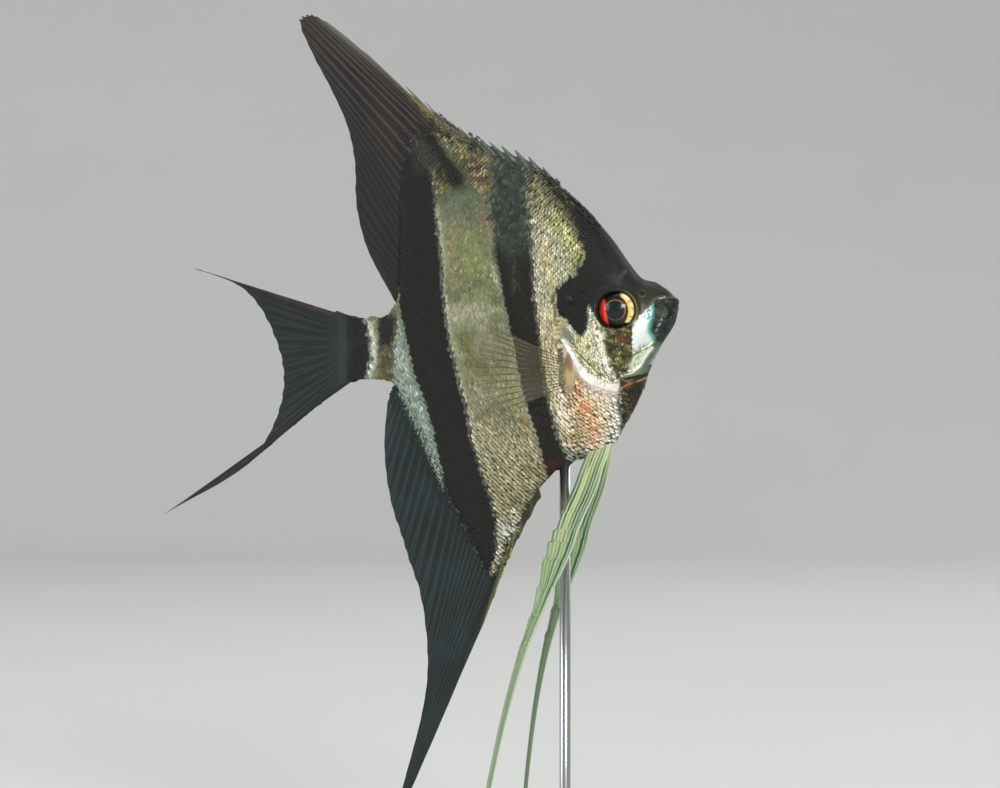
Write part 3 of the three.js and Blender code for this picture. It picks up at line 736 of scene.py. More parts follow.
# %% Black bars and tail root
def black_bars(x, z):
    """The second and third bars, the foot of the back fin and its blotch."""
    grain = fine_noise(x, z)
    high = ramp(z, 156, 166)
    second = ragged(BAR_TWO, x, z, 0.3) * (1 - high) + ragged(BAR_TWO, x, z, 1.6, 1.4) * high
    yield "#201f1a", second, 0.08
    yield "#343e36", 0.9 * second * ramp(z, 155, 163), 0.1
    yield "#232b26", 0.7 * second * high * ramp(noise(x, z, 1.6, 31), 0.45, 0.75), 0.1
    yield "#55614f", 0.6 * zone(BAR_TWO, x, z, 1.5) * high * ramp(noise(x, z, 0.45, 26), 0.55, 0.8), 0.3
    pale_core = stroke([(-12.2, 161.5), (-10.6, 157.0), (-10.0, 150.4)], x, z, 0.9)
    yield "#4b5445", 0.6 * pale_core * ramp(grain, 0.3, 0.7)
    yield "#1b1c19", 0.9 * stroke([(-15.0, 159.9), (-12.6, 149.6), (-10.7, 140.6)], x, z, 1.0)
    yield "#4a2c20", 0.6 * stroke([(-3.4, 109.2), (-1.2, 109.8)], x, z, 1.2)
    yield "#1c1d1b", ragged(BAR_THREE, x, z, 0.25), 0.06
    yield "#2c2d27", 0.9 * zone(FIN_FOOT, x, z, 1.2), 0.1
    yield "#1e1e1a", 1.25 * stroke(BACK_BLOTCH, x, z, 1.5 + 1.0 * ramp(-z, -183, -177)), 0.08


def tail_root(x, z):
    """The olive root of the tail, its pale line and the last bar."""
    grain = fine_noise(x, z)
    coarse = coarse_noise(x, z)
    wrist = zone(TAIL_WRIST, x, z, 0.6)
    yield "#4c4a36", wrist, 0.4
    yield "#8b8660", 0.4 * wrist * ramp(grain, 0.5, 0.75), 0.6
    yield "#22231f", ragged(TAIL_BLOTCH, x, z, 0.6, 0.9), 0.08
    yield "#c3cab8", 1.2 * stroke(TAIL_LINE, x, z, 0.75), 0.9
    yield "#1e2120", ragged(TAIL_BAR, x, z, 0.35), 0.06
    yield "#29332f", 0.9 * ramp(-x - 0.9 * coarse - 0.02 * (z - 136) ** 2, 51.6, 53.2)


show("third bar", black_bars, -30, 140)
show("tail root", tail_root, -44, 133)

# %% Gill cover, first bar and silver plates
def gill_cover(x, z):
    """The cheek, the white spike behind the eye and the white band of the gill cover."""
    grain = fine_noise(x, z)
    coarse = coarse_noise(x, z)
    yield "#d0cda8", ragged(CHEEK, x, z, 0.35), 0.85
    yield "#6b6c3a", 0.8 * zone(CHEEK, x, z, 0.4) * ramp(grain, 0.5, 0.75), 0.3
    yellow = stroke([(4.6, 139.0), (6.4, 137.4), (8.6, 139.2)], x, z, 1.1)
    yield "#9a9d4e", 0.6 * yellow * ramp(coarse, 0.2, 0.6)
    spike_width = 0.75 + 0.5 * ramp(-z, -144, -136)
    yield "#f4eedb", 1.1 * stroke(SPIKE, x, z, spike_width) * ramp(-grain, -0.85, -0.45), 0.95
    yield "#7fa9b0", 0.5 * stroke([(11.2, 140.4), (11.8, 138.9)], x, z, 0.6) * (0.4 + coarse)
    yield "#8f8a68", 0.5 * stroke(GREY_BAND, x, z, 0.5) * (0.4 + coarse), 0.5
    yield "#7c8176", zone(GILL_SKIN, x, z, 0.5), 0.2
    yield "#a7a358", ragged(GILL_FLAP, x, z, 1.2), 0.5
    yield "#e6e6da", 1.2 * stroke(FLAP_EDGE, x, z, 0.35), 0.7
    yield "#fffcf6", zone(GILL_BAND, x, z, 0.35) * (0.85 + 0.6 * coarse), 0.3
    folds = noise(x - 0.5 * z, 0.25 * (x + z), 0.4, 27)
    yield "#b9a998", 0.4 * zone(GILL_BAND, x, z, 0.3) * ramp(folds, 0.5, 0.8), 0.3
    band = zone(GILL_BAND, x, z, 0.4)
    yield "#dfb4b0", 0.25 * band * ramp(x, 8.0, 11.5) * (0.4 + coarse)
    yield "#b9b08c", 0.5 * band * ramp(noise(x, z, 0.45, 24), 0.6, 0.8) * ramp(x, 5.5, 9.0)


def first_bar(x, z):
    """The first bar over the nape, the snout and the brown bar under the eye."""
    grain = fine_noise(x, z)
    coarse = coarse_noise(x, z)
    yield "#1a1c1a", ragged(NAPE, x, z, 0.3, 0.35), 0.05
    yield "#6d6e62", 0.6 * stroke([(14.4, 153.2), (15.2, 154.4)], x, z, 0.5) * coarse
    yield "#5c6058", stroke([(2.3, 148.8), (3.0, 148.2)], x, z, 0.35) * ramp(grain, 0.4, 0.7)
    yield "#1b1c14", zone(SNOUT, x, z, 1.8), 0.1
    bridge = [(18.0, 150.0), (18.4, 144.4), (22.0, 147.6), (24.0, 151.0)]
    yield "#2c2f1b", 0.85 * zone(bridge, x, z, 1.5)
    halo = np.hypot(x - EYE["x"], z - EYE["z"]) - EYE["radius"] - 0.35
    yield "#75622f", 0.8 * np.exp(-((halo / 0.2) ** 2)) * ramp(x, 15.0, 17.0), 0.3
    yield "#45432a", ragged(EYE_BAR, x, z, 0.4), 0.2
    under_eye = zone(EYE_BAR, x, z, 0.3)
    yield "#a3a468", under_eye * ramp(noise(x, z, 0.27, 14), 0.48, 0.85), 0.45
    yield "#1a1912", 0.8 * under_eye * ramp(coarse, 0.5, 0.8)
    yield "#74401f", 0.65 * stroke([(14.4, 139.8), (15.6, 139.2)], x, z, 1.2) * ramp(-grain, -0.8, -0.3)


def silver_plates(x, z):
    """The mirrors of the cheek and the lower jaw."""
    grain = fine_noise(x, z)
    yield "#dde6cf", ragged(JAW_MIRROR, x, z, 0.35, 0.8), 0.95
    yield "#8f9676", 0.7 * zone(JAW_MIRROR, x, z, 0.3) * ramp(noise(x, z, 0.3, 23), 0.55, 0.8), 0.5
    yield "#e6f3ef", ragged(CHEEK_MIRROR, x, z, 0.5, 0.8), 1.0
    mirror = zone(CHEEK_MIRROR, x, z, 0.4)
    teal = ramp(z + x / 2, 152.2, 154.6) * ramp(noise(x, z, 0.32, 28), 0.4, 0.6)
    yield "#3a7f86", 0.9 * mirror * teal, 0.6
    yield "#59b3b8", 0.9 * stroke(MIRROR_RIM, x, z, 0.45), 0.8
    # Painted shade: a broken darker line along the mirror's lower edge, by the groove of the cheek
    # plate.
    groove_shade = stroke([(17.6, 136.2), (20.2, 137.4)], x, z, 0.5) * ramp(grain, 0.45, 0.6)
    yield "#8b8f80", 0.8 * mirror * groove_shade


show("gill cover", gill_cover, 7, 130)
show("first bar", first_bar, 6, 150)
show("cheek mirror", silver_plates, 19, 141)

# %% Lips, throat and the root of the pectoral fin
def lips_and_throat(x, z):
    """The dark lips and jaws with their glints, and the speckled throat."""
    coarse = coarse_noise(x, z)
    lips = zone(LIPS, x, z, 0.5)
    creases = noise(x + 0.6 * z, 0.3 * (z - x), 0.28, 22)
    yield "#1d211c", lips, 0.15
    yield "#4b544b", 0.55 * lips * ramp(creases, 0.45, 0.95), 0.4
    yield "#1a1d18", 0.4 * lips * ramp(-creases, -0.45, -0.1)
    yield "#48524c", 0.6 * ramp(-from_spot(LIP_BONE, x, z), -1.0, -0.5) * (0.5 + coarse), 0.3
    yield "#66786d", 0.9 * stroke(CHIN_BAND, x, z, 0.7) * (0.4 + coarse), 0.4
    yield "#b9c9be", 0.9 * stroke(CHIN_RIM, x, z, 0.32) * ramp(coarse, 0.15, 0.45), 0.5
    yield "#4a6259", 0.6 * stroke(JAW_EDGE, x, z, 0.5) * ramp(coarse, 0.3, 0.6)
    for line in LIP_GLINTS:
        yield "#a9b8ae", 0.8 * stroke(line, x, z, 0.25) * ramp(noise(x, z, 0.4, 15), 0.35, 0.6), 0.6
    yield "#dfe9e0", stroke(JAW_LINE, x, z, 0.22) * (0.5 + coarse), 0.8
    yield "#2a2a20", ragged(THROAT, x, z, 0.5), 0.12
    specks = ramp(noise(x, z, 0.34, 16), 0.5, 0.85)
    yield "#8a8450", 0.9 * zone(THROAT, x, z, 0.4) * ramp(-x, -17.6, -14.6) * specks, 0.5
    yield "#b48d58", 1.2 * stroke(THROAT_STREAK, x, z, 0.15) * ramp(coarse, 0.0, 0.5), 0.6
    rust = stroke([(15.2, 127.6), (16.0, 128.2), (17.0, 128.6)], x, z, 0.28)
    yield "#a8683a", 0.8 * rust * (0.4 + coarse), 0.5


def fin_root(x, z):
    """The bare lobe that carries the pectoral fin."""
    lobe = ramp(-from_spot(FIN_LOBE, x, z), -1.15, -0.85)
    yield "#7e7b6c", lobe, 0.15
    yield "#c0aa78", lobe * ramp(-z, -133.6, -131.0), 0.25
    yield "#8f6440", 0.8 * lobe * stroke([(2.3, 133.6), (2.9, 132.0)], x, z, 0.8)
    yield "#a09488", lobe * ramp(-z, -128.4, -127.0), 0.3


show("lips", lips_and_throat, 25, 146)
show("fin root", fin_root, 2.5, 131)

# %% Colour and shine of any place on the right flank
AREAS = (
    pale_band, shoulder, chest, black_bars, tail_root, gill_cover, first_bar, silver_plates,
    lips_and_throat, fin_root,
)


def paint(x, z):
    """Linear colour and shine of the right flank at places in millimetres."""
    return painted(x, z, AREAS)


def rim_light_strength(x, z):
    """How strongly the painted highlight at each scale's rim and the painted shade at its root show:
    strong ahead, faint between the bars.
    """
    plain = np.maximum(zone(FORE_BAND, x, z, 1.0), ramp(-z, -128, -110))
    plain = np.maximum(plain, zone(CHEEK, x, z, 1.0)) + 0.35 * zone(CHEST, x, z, 1.0)
    plain = plain + 0.4 * ramp(-z, -118, -108)
    plain = plain + 0.9 * stroke(SHOULDER_EDGE, x, z, 5.0) * zone(FORE_BAND, x, z, 1.0)
    plain = 0.25 + 0.75 * np.maximum(plain, ramp(z, 172, 178))
    dark = np.maximum(zone(BAR_TWO, x, z, 0.3), zone(BAR_THREE, x, z, 0.3))
    dark = np.maximum(dark, 1.1 * stroke(GILL_EDGE, x, z, 1.0))
    return plain * (1 - 0.8 * np.maximum(dark, zone(TAIL_BAR, x, z, 0.3)))


soft_patches = len(BAND_HUES) + len(SHOULDER_HUES)
print("markings:", len(AREAS), "areas,", soft_patches, "soft patches,", len(FLECKS), "lines of flecks")

# %% [markdown]
# ## The skin
# The skin is one closed surface from the lips to the root of the tail fin. It could be made by
# joining and remeshing the frame's pieces, but that would blur the thin edges. Lofting it again
# from the stations keeps it exact, and lets the columns crowd together on the head, where the folds
# are small. It lies just under the frame's surface, to leave the depth of the scales.

# %% The wet skin's material
# Slime over pigment cells: a soft wet gloss, fine dark and pale cells, and silver where guanine lies.
wet_skin, tree = new_material("wet_skin_over_guanine")
pigment = add(tree, "ShaderNodeAttribute", {"attribute_name": "pigment"})
shine = add(tree, "ShaderNodeAttribute", {"attribute_name": "shine"})
cells = add(tree, "ShaderNodeTexNoise", {"Scale": per_mm(0.3), "Detail": 3, "Roughness": 0.7})
spread = {"From Min": 0.32, "From Max": 0.68, "To Min": 0.5, "To Max": 1.5}
speckle = add(tree, "ShaderNodeMapRange", spread, {"Value": cells})
tone = add(tree, "ShaderNodeMix", MULTIPLIED, {6: pigment, 7: speckle})
silver = add(tree, "ShaderNodeMath", {"operation": "MULTIPLY", 1: 0.5}, {0: shine.outputs["Fac"]})
wet = {"To Min": 0.5, "To Max": 0.34}
wetness = add(tree, "ShaderNodeMapRange", wet, {"Value": shine.outputs["Fac"]})
pores = add(tree, "ShaderNodeTexNoise", {"Scale": per_mm(0.35), "Detail": 4})
bumps = add(tree, "ShaderNodeBump", {"Strength": 0.35, "Distance": 0.00012}, {"Height": pores})
shader = add(
    tree,
    "ShaderNodeBsdfPrincipled",
    {"IOR": 1.4, "Specular IOR Level": 0.35, "Coat Weight": 0.15, "Coat Roughness": 0.2},
    {"Base Color": tone.outputs[2], "Metallic": silver, "Roughness": wetness, "Normal": bumps},
)
add(tree, "ShaderNodeOutputMaterial", links={"Surface": shader})
print(wet_skin.name, "has", len(tree.nodes), "nodes")

# %% The skin's grid of points
COAT = 0.22  # depth of the scales over the skin
THINNEST = 0.12  # least distance of the skin from the middle of the fish
HEAD_STATIONS = 8.5
ROWS = 250
HEAD_COLUMNS, TRUNK_COLUMNS = 230, 190
LOWER_SWELL = {"ahead": 0.7, "z": 141.9, "spread": 2.9}
UPPER_DRAW = {"back": 0.6, "from": 146.4, "to": 149.0}
SNOUT_TIP = (21.0, 24.5)  # the swell and the draw grow from the first x to the second


def grid_normals(points):
    """Unit normals of a grid of points, pointing to its right-hand side."""
    normal = np.cross(np.gradient(points, axis=1), np.gradient(points, axis=0))
    return normal / (np.linalg.norm(normal, axis=-1, keepdims=True) + 1e-12)


# The rows crowd a little towards the crest and the keel, and the relief fades where the body is thin.
even = np.linspace(0, 1, ROWS)
across = 0.55 * even + 0.45 * (1 - np.cos(np.pi * even)) / 2
head_columns = np.linspace(0, HEAD_STATIONS, HEAD_COLUMNS, endpoint=False)
columns = np.concatenate([head_columns, np.linspace(HEAD_STATIONS, TAIL_END, TRUNK_COLUMNS)])
plan = flank(columns[:, None], across[None])
outward = grid_normals(plan)
outward *= -np.sign(outward[..., 1:2])
lift = relief(plan[..., 0], plan[..., 2]) - COAT
thin = ramp(-plan[..., 1], 0.3, 1.6)
right = plan + outward * (lift * (0.15 + 0.85 * thin))[..., None]
right[..., 1] = np.minimum(right[..., 1], -THINNEST)
# The snout is blunt: the upper lip draws back at its top and the lower lip swells forward.
from_swell = (right[..., 2] - LOWER_SWELL["z"]) / LOWER_SWELL["spread"]
blunt = LOWER_SWELL["ahead"] * np.exp(-(from_swell**2))
blunt -= UPPER_DRAW["back"] * ramp(right[..., 2], UPPER_DRAW["from"], UPPER_DRAW["to"])
right[..., 0] += ramp(right[..., 0], *SNOUT_TIP) * blunt
left = (right * [1, -1, 1])[:, ::-1]
print("the right flank has", len(columns), "columns of", ROWS, "points")

# %% The closed skin
def ridge_line(edge):
    """The middle line between two flanks, a little outside their meeting edges."""
    outside = (edge[:, 0] - edge[:, 1]) * [1, 0, 1]
    outside /= np.linalg.norm(outside, axis=1, keepdims=True) + 1e-9
    return edge[:, 0] * [1, 0, 1] + outside * THINNEST


top_line = ridge_line(right[:, [0, 4]])
bottom_line = ridge_line(right[:, [-1, -5]])
rings = np.concatenate([right, bottom_line[:, None], left, top_line[:, None]], axis=1)

# The lips roll in and meet in a dark slit: the front ring flattens and turns back into the head.
centre = rings[0].mean(axis=0)
rolls = (  # share of the width, share of the height, millimetres ahead
    (0.97, 0.86, 0.1), (0.93, 0.6, 0.2), (0.88, 0.3, 0.18), (0.84, 0.12, 0.02), (0.8, 0.1, -0.5),
    (0.6, 0.1, -1.2), (0.02, 0.02, -1.5),
)
mouth = [centre + (rings[0] - centre) * [1, wide, high] + [ahead, 0, 0] for wide, high, ahead in rolls]
tail_middle = rings[-1].mean(axis=0)
tail_tip = tail_middle + (rings[-1] - tail_middle) * [1, 0.05, 0.98] - [0.3, 0, 0]
rings = np.concatenate([mouth[::-1], rings, tail_tip[None]])
points = rings.reshape(-1, 3)
skin_faces = grid_faces(*rings.shape[:2], wrap=True)[:, ::-1]
skin = make_piece("skin", points, skin_faces, wet_skin, "flesh")
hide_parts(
    "head", "upper_jaw", "lower_jaw", "gill_cover_left", "gill_cover_right", "trunk", "tail_root"
)

colour, shine_here = paint(points[:, 0], points[:, 2])
# Painted shade: the rings that turn back into the mouth are coloured near black, with no shine, for the
# shade inside the slit.
in_mouth = np.repeat(np.arange(len(rings)) < len(mouth) - 3, rings.shape[1])
colour[in_mouth] = linear("#1d1715")
store(skin, "pigment", colour)
store(skin, "shine", np.where(in_mouth, 0.0, shine_here))
# The right flank fills the first half of the bake map and the left flank the second.
share = np.concatenate([across * 0.48, [0.49], 0.5 + 0.48 * across, [0.995]])
lengthwise = np.linspace(0.003, 0.997, len(rings))
bake_map(skin, np.stack(np.broadcast_arrays(share[None], lengthwise[:, None]), axis=-1).reshape(-1, 2))
print("skin:", len(points), "points,", len(skin.data.polygons), "faces")

# %% [markdown]
# ## Scales
# An angelfish wears small overlapping plates in slanting rows, each tucked under the one in front
# with its round rear edge free. They could be drawn as bumps, but real plates catch the light one
# by one and give the black bars their toothed edges, because each plate is all dark or all pale.
# So every scale is a thin closed plate. It takes its hue from the markings at its root, with painted
# shade where it is tucked in and a painted highlight at the rim. All plates of a region are joined in
# one mesh.

# %% One scale
PLATE_ROWS = [(0.0, 0.34), (0.3, 0.48), (0.62, 0.55), (0.87, 0.47), (1.0, 0.3)]  # along, half width
PLATE_ACROSS = np.linspace(-1, 1, 5)
FREE_EDGE = (0.11, 0.34)  # how far the round rear edge falls back at its sides, and its half width
UNDERSIDE = (0.5, 0.0, -0.4)  # the one point that closes a plate from below


def plate():
    """Points of a scale (along, across, height) with both from its root, and its triangles."""
    top = [
        (along, half * side, 1 - side**2) for along, half in PLATE_ROWS for side in PLATE_ACROSS
    ]
    fall, half = FREE_EDGE
    top[20:25] = [(1.0 - fall * side**2, half * side, 1 - side**2) for side in PLATE_ACROSS]
    quads = grid_faces(5, 5)
    upper = np.concatenate([quads[:, [0, 1, 2]], quads[:, [0, 2, 3]]])
    rim = [*range(0, 5), 9, 14, 19, *range(24, 19, -1), 15, 10, 5]
    lower = np.array([(25, b, a) for a, b in zip(rim, rim[1:] + rim[:1])])
    return np.array([*top, UNDERSIDE]), upper, lower


PLATE, PLATE_TOP, PLATE_UNDER = plate()
PLATE_SIDE = np.append(np.tile(PLATE_ACROSS, 5), 0)
# Painted light on every plate: its colour is darkened as painted shade where it is tucked under the
# plate in front and brightened as a painted highlight at its rim. GLINT is where a painted glint falls.
RIM_LIGHT_ROOT_SHADE = ramp(PLATE[:, 0] + 0.13 * PLATE_SIDE**2, 0.74, 1.02) - 0.32
GLINT = ramp(PLATE[:, 0] + 0.12 * PLATE_SIDE, 0.72, 1.0)
print("a scale has", len(PLATE), "points and", len(PLATE_TOP) + len(PLATE_UNDER), "triangles")

# %% The scales' material
# Bone over guanine: satin, more silver where the plate shines, with fine growth rings and a few
# bright points painted in as highlights, where the crystals lie flat.
scale_plate, tree = new_material("scale_of_bone_with_guanine")
pigment = add(tree, "ShaderNodeAttribute", {"attribute_name": "pigment"})
shine = add(tree, "ShaderNodeAttribute", {"attribute_name": "shine"})
cells = add(tree, "ShaderNodeTexNoise", {"Scale": per_mm(0.34), "Detail": 3, "Roughness": 0.75})
spread = {"From Min": 0.32, "From Max": 0.68, "To Min": 0.45, "To Max": 1.6}
speckle = add(tree, "ShaderNodeMapRange", spread, {"Value": cells})
crystals = add(tree, "ShaderNodeTexNoise", {"Scale": per_mm(0.24), "Detail": 1})
few = {"From Min": 0.58, "From Max": 0.7, "To Min": 0.93, "To Max": 2.0}
painted_sparkle = add(tree, "ShaderNodeMapRange", few, {"Value": crystals})
cells_and_painted_sparkle = add(tree, "ShaderNodeMath", {"operation": "MULTIPLY"}, {0: speckle, 1: painted_sparkle})
tone = add(tree, "ShaderNodeMix", MULTIPLIED, {6: pigment, 7: cells_and_painted_sparkle})
silver = add(tree, "ShaderNodeMath", {"operation": "MULTIPLY", 1: 0.5}, {0: shine.outputs["Fac"]})
dry = {"To Min": 0.7, "To Max": 0.32}
satin = add(tree, "ShaderNodeMapRange", dry, {"Value": shine.outputs["Fac"]})
growth = add(tree, "ShaderNodeTexNoise", {"Scale": per_mm(0.2), "Detail": 1})
bumps = add(tree, "ShaderNodeBump", {"Strength": 0.3, "Distance": 0.00005}, {"Height": growth})
shader = add(
    tree,
    "ShaderNodeBsdfPrincipled",
    {"IOR": 1.45, "Specular IOR Level": 0.3, "Coat Weight": 0.08, "Coat Roughness": 0.25},
    {"Base Color": tone.outputs[2], "Metallic": silver, "Roughness": satin, "Normal": bumps},
)
add(tree, "ShaderNodeOutputMaterial", links={"Surface": shader})
print(scale_plate.name, "has", len(tree.nodes), "nodes")

# %% Laying scales over a surface
PLATE_LENGTH, PLATE_WIDTH = 1.62, 1.16  # in widths of a row, so that the plates overlap
TUCKED = 0.25  # share of a plate's length that lies ahead of its root
CROWN = 0.06  # how far a plate's middle stands over its edges, in widths of a row
SUNK = 0.05  # how deep the front of a plate sits in the skin, in millimetres
BAKE_PATCH = 0.003  # size of one scale on the bake map
WOBBLE = 0.075  # how unevenly the scales sit in their rows, in widths of a row


def lie(x, z):
    """The way the free edges point: back, by degrees up or down towards the fins and the throat."""
    tilt = np.radians(30) * ramp(z, 142, 184) - np.radians(46) * ramp(-z, -138, -96)
    tilt = tilt - np.radians(36) * ramp(x, 0.5, 5.0) * ramp(-z, -132, -126)
    return np.stack([-np.cos(tilt), np.zeros(len(x)), np.sin(tilt)], axis=1)


def quincunx(box, cell, turn=0.0):
    """Places in alternate rows over a box on the side view, with the rows turned by degrees."""
    middle = np.array([box[0] + box[2], box[1] + box[3]]) / 2
    reach = np.hypot(box[2] - box[0], box[3] - box[1]) / 2
    x, z = np.arange(-reach, reach, cell[0]), np.arange(-reach, reach, cell[1] / 2)
    places = np.stack(np.meshgrid(x, z, indexing="ij"), axis=-1)
    places[:, 1::2, 0] += cell[0] / 2
    places = places.reshape(-1, 2) + rng.normal(0, WOBBLE * cell[1], (places.size // 2, 2))
    c, s = math.cos(math.radians(turn)), math.sin(math.radians(turn))
    return places @ np.array([[c, s], [-s, c]]) + middle


def land(surface, places):
    """Where each place on the side view meets a surface: its point, its normal and its face."""
    hits, normals, faces = [], [], []
    for x, z in places:
        hit, normal, face, _ = surface.ray_cast(Vector((x, -30, z)), Vector((0, 1, 0)))
        if hit is not None and hit.y < -0.02:
            hits.append(hit)
            normals.append(normal if normal.y < 0 else -normal)
            faces.append(face)
    return np.array(hits), np.array(normals), np.array(faces, int)


def shingle(name, scales, slot="flesh", mirror=False):
    """One mesh of scales with their roots at the hits, each a patch of its own on the bake map."""
    hits, normals, size = scales["hits"], scales["normals"], scales["size"][:, None, None]
    along = lie(hits[:, 0], hits[:, 2])
    along -= normals * (along * normals).sum(1, keepdims=True)
    along /= np.linalg.norm(along, axis=1, keepdims=True)
    side = np.cross(normals, along)
    a, b, h = PLATE.T
    height = (-SUNK + scales["rise"] * a)[None, :, None] + CROWN * h[None, :, None] * size
    points = hits[:, None] + along[:, None] * (a - TUCKED)[None, :, None] * PLATE_LENGTH * size
    points = points + side[:, None] * b[None, :, None] * PLATE_WIDTH * size
    points = (points + normals[:, None] * height).reshape(-1, 3)
    steps = (np.arange(len(hits)) * len(PLATE))[:, None, None]
    faces = np.concatenate([(PLATE_TOP + steps).reshape(-1, 3), (PLATE_UNDER + steps).reshape(-1, 3)])
    patches = scales["uv"][:, None] + BAKE_PATCH * np.stack([b, a - 0.5], axis=1)[None]
    if mirror:
        points, faces, patches = points * [1, -1, 1], faces[:, ::-1], patches + [0.5, 0]
    piece = make_piece(name, points, faces, scale_plate, slot)
    under = np.arange(len(faces)) >= len(hits) * len(PLATE_TOP)
    piece.data.attributes.new("sharp_face", "BOOLEAN", "FACE").data.foreach_set("value", under)
    # The pigment carries painted shade at the plate's root, a painted highlight at its rim and, on some
    # scales, a painted glint.
    rim_light_and_root_shade = 1 + 1.6 * RIM_LIGHT_ROOT_SHADE[None] * scales["contrast"][:, None]
    root, tip = scales["colour"][:, None], scales["tip"][:, None]
    pigment = (root + (tip - root) * ramp(a, 0.3, 1.0)[None, :, None]) * rim_light_and_root_shade[..., None]
    bright = GLINT[None, :, None] * scales["glint"][:, None, None]
    store(piece, "pigment", (pigment + bright * (1.0 * pigment + 0.36)).reshape(-1, 3))
    store(piece, "shine", np.repeat(scales["shine"], len(PLATE)))
    bake_map(piece, patches.reshape(-1, 2))


print("a scale of a 1 mm row is", PLATE_LENGTH, "mm long")

# %% Where the scales of the trunk and the head begin and end
NAPE_BORDER = [
    (8.4, 169.0), (5.7, 158.0), (5.0, 153.6), (0.7, 151.0), (-0.3, 149.0), (-0.5, 147.0),
    (0.0, 144.4), (0.3, 142.0),
]
CHEST_BORDER = [(1.6, 136.6), (2.0, 131.6), (2.6, 125.0), (3.0, 120.0), (3.2, 115.3), (3.4, 106.0)]
TRUNK_SCALES = [
    *NAPE_BORDER, (0.4, 139.0), *CHEST_BORDER, (-20.0, 70.0), (-57.0, 100.0), (-52.6, 128.0),
    (-52.6, 150.0), (-46.0, 152.0), (-44.0, 192.0), (-6.0, 186.0),
]
CHEST_SCALES = [
    CHEST_BORDER[0], (2.5, 134.7), (3.3, 133.1), (4.4, 130.7), (5.7, 129.0), (7.6, 127.7),
    (9.8, 126.8), (12.2, 126.1), (14.3, 125.8), (14.4, 124.0), (14.0, 118.8), (12.6, 112.4),
    (12.0, 106.0), *CHEST_BORDER[:0:-1],
]
HEAD_SCALES = [
    *NAPE_BORDER, (0.6, 141.1), (2.6, 141.3), (3.9, 139.4), (3.0, 137.9), (4.1, 135.7), (5.2, 133.7),
    (6.8, 131.8), (8.9, 130.2), (10.9, 129.3), (13.2, 128.6), (16.8, 131.0), (17.0, 136.0),
    (16.9, 140.2), (12.8, 140.4), (9.7, 141.6), (8.5, 144.0), (8.4, 147.6), (9.4, 150.6),
    (11.6, 151.8), (12.6, 155.0), (9.6, 162.6),
]
THROAT_SCALES = [
    (14.6, 127.4), (18.8, 129.0), (19.0, 125.6), (16.8, 120.0), (13.4, 113.6), (14.1, 118.8),
    (14.7, 124.0),
]
BARE_LOBE = [
    (0.9, 136.4), (3.0, 136.2), (3.8, 133.4), (3.7, 129.2), (3.3, 126.0), (1.7, 126.2), (1.1, 129.7),
    (1.4, 133.4),
]

flank_tree = BVHTree.FromPolygons(right.reshape(-1, 3).tolist(), grid_faces(*right.shape[:2]).tolist())


def glints(shine):
    """How brightly the rim of each scale flashes: often where guanine is thick, never on black."""
    return (rng.random(len(shine)) < shine**2) * shine * rng.uniform(0.2, 1.0, len(shine))


def scale_region(outline, box, cell, rise, turn=0.0):
    """Roots, sizes and colours of the scales inside an outline, clear of the fin's bare lobe."""
    places = quincunx(box, cell, turn)
    pitch = cell[1]
    x, z = places.T
    inside = (zone(outline, x, z, 0.01) > 0.5) & (zone(BARE_LOBE, x, z, 0.01) < 0.5)
    hits, normals, faces = land(flank_tree, places[inside])
    station, place = np.divmod(faces, ROWS - 1)
    x, z = hits[:, 0], hits[:, 2]
    colour, shine = paint(x, z)
    behind = lie(x, z) * pitch * 0.9
    tip, _ = paint(x + behind[:, 0], z + behind[:, 2])
    tone = np.clip(1 + 0.16 * rng.standard_normal(len(x)) * (0.4 + shine), 0.5, 1.6)[:, None]
    return {
        "hits": hits,
        "normals": normals,
        "uv": np.stack([across[place] * 0.48, lengthwise[len(mouth) + station]], axis=1),
        "size": pitch * np.clip(1 + 0.05 * rng.standard_normal(len(x)), 0.88, 1.12),
        "rise": rise,
        "colour": colour * tone,
        "tip": tip * tone,
        "shine": shine,
        "contrast": rim_light_strength(x, z) * rng.uniform(0.7, 1.3, len(x)),
        "glint": glints(shine),
    }


def part_of(region, chosen):
    """The chosen scales of a region."""
    return {k: v[chosen] if isinstance(v, np.ndarray) else v for k, v in region.items()}


trunk_scales = scale_region(TRUNK_SCALES, (-57, 82, 10, 188), (1.08, 1.08), 0.19)
x = trunk_scales["hits"][:, 0]
regions = {
    "head": scale_region(HEAD_SCALES, (-1, 128, 18, 170), (0.72, 0.72), 0.1),
    "throat": scale_region(THROAT_SCALES, (13, 112, 20, 130), (0.75, 0.75), 0.08),
    "chest": scale_region(CHEST_SCALES, (-4, 104, 15, 138), (1.36, 1.16), 0.17, turn=54),
    "shoulder": {**part_of(trunk_scales, x > -12), "rise": 0.27},
    "flank": part_of(trunk_scales, (x <= -12) & (x > -28)),
    "rear": part_of(trunk_scales, x <= -28),
}
for name, region in regions.items():
    for mirror, hand in ((False, "right"), (True, "left")):
        shingle(f"scales_{name}_{hand}", region, mirror=mirror)
    print(name, "has", len(region["hits"]), "scales a side")

# %% [markdown]
# ## Rayed fins
# A fin is a skin stretched over bony rays. The first rays of the back fin and of the anal fin are
# hard spines, with the skin cut back between their points. The rest are soft: they part in two on
# the way out and carry the long sails. A flat cut-out would look like paper, so each fin is a
# closed sheet whose thickness swells at every ray, thins between them and tapers to the edge.

# %% The sheet of a fin
WAVE = 0.35  # how far the edge of a big fin sways from flat, in millimetres
FORK = 0.2  # how far a soft ray's branches part at the tip, in widths of a ray's field
RAY_SPREAD = (0.12, 0.03)  # width of a ray at its root, and how much it loses, in the same
SOFT_NOTCH = 0.012  # how far the skin is cut back between soft rays, as a share of their length


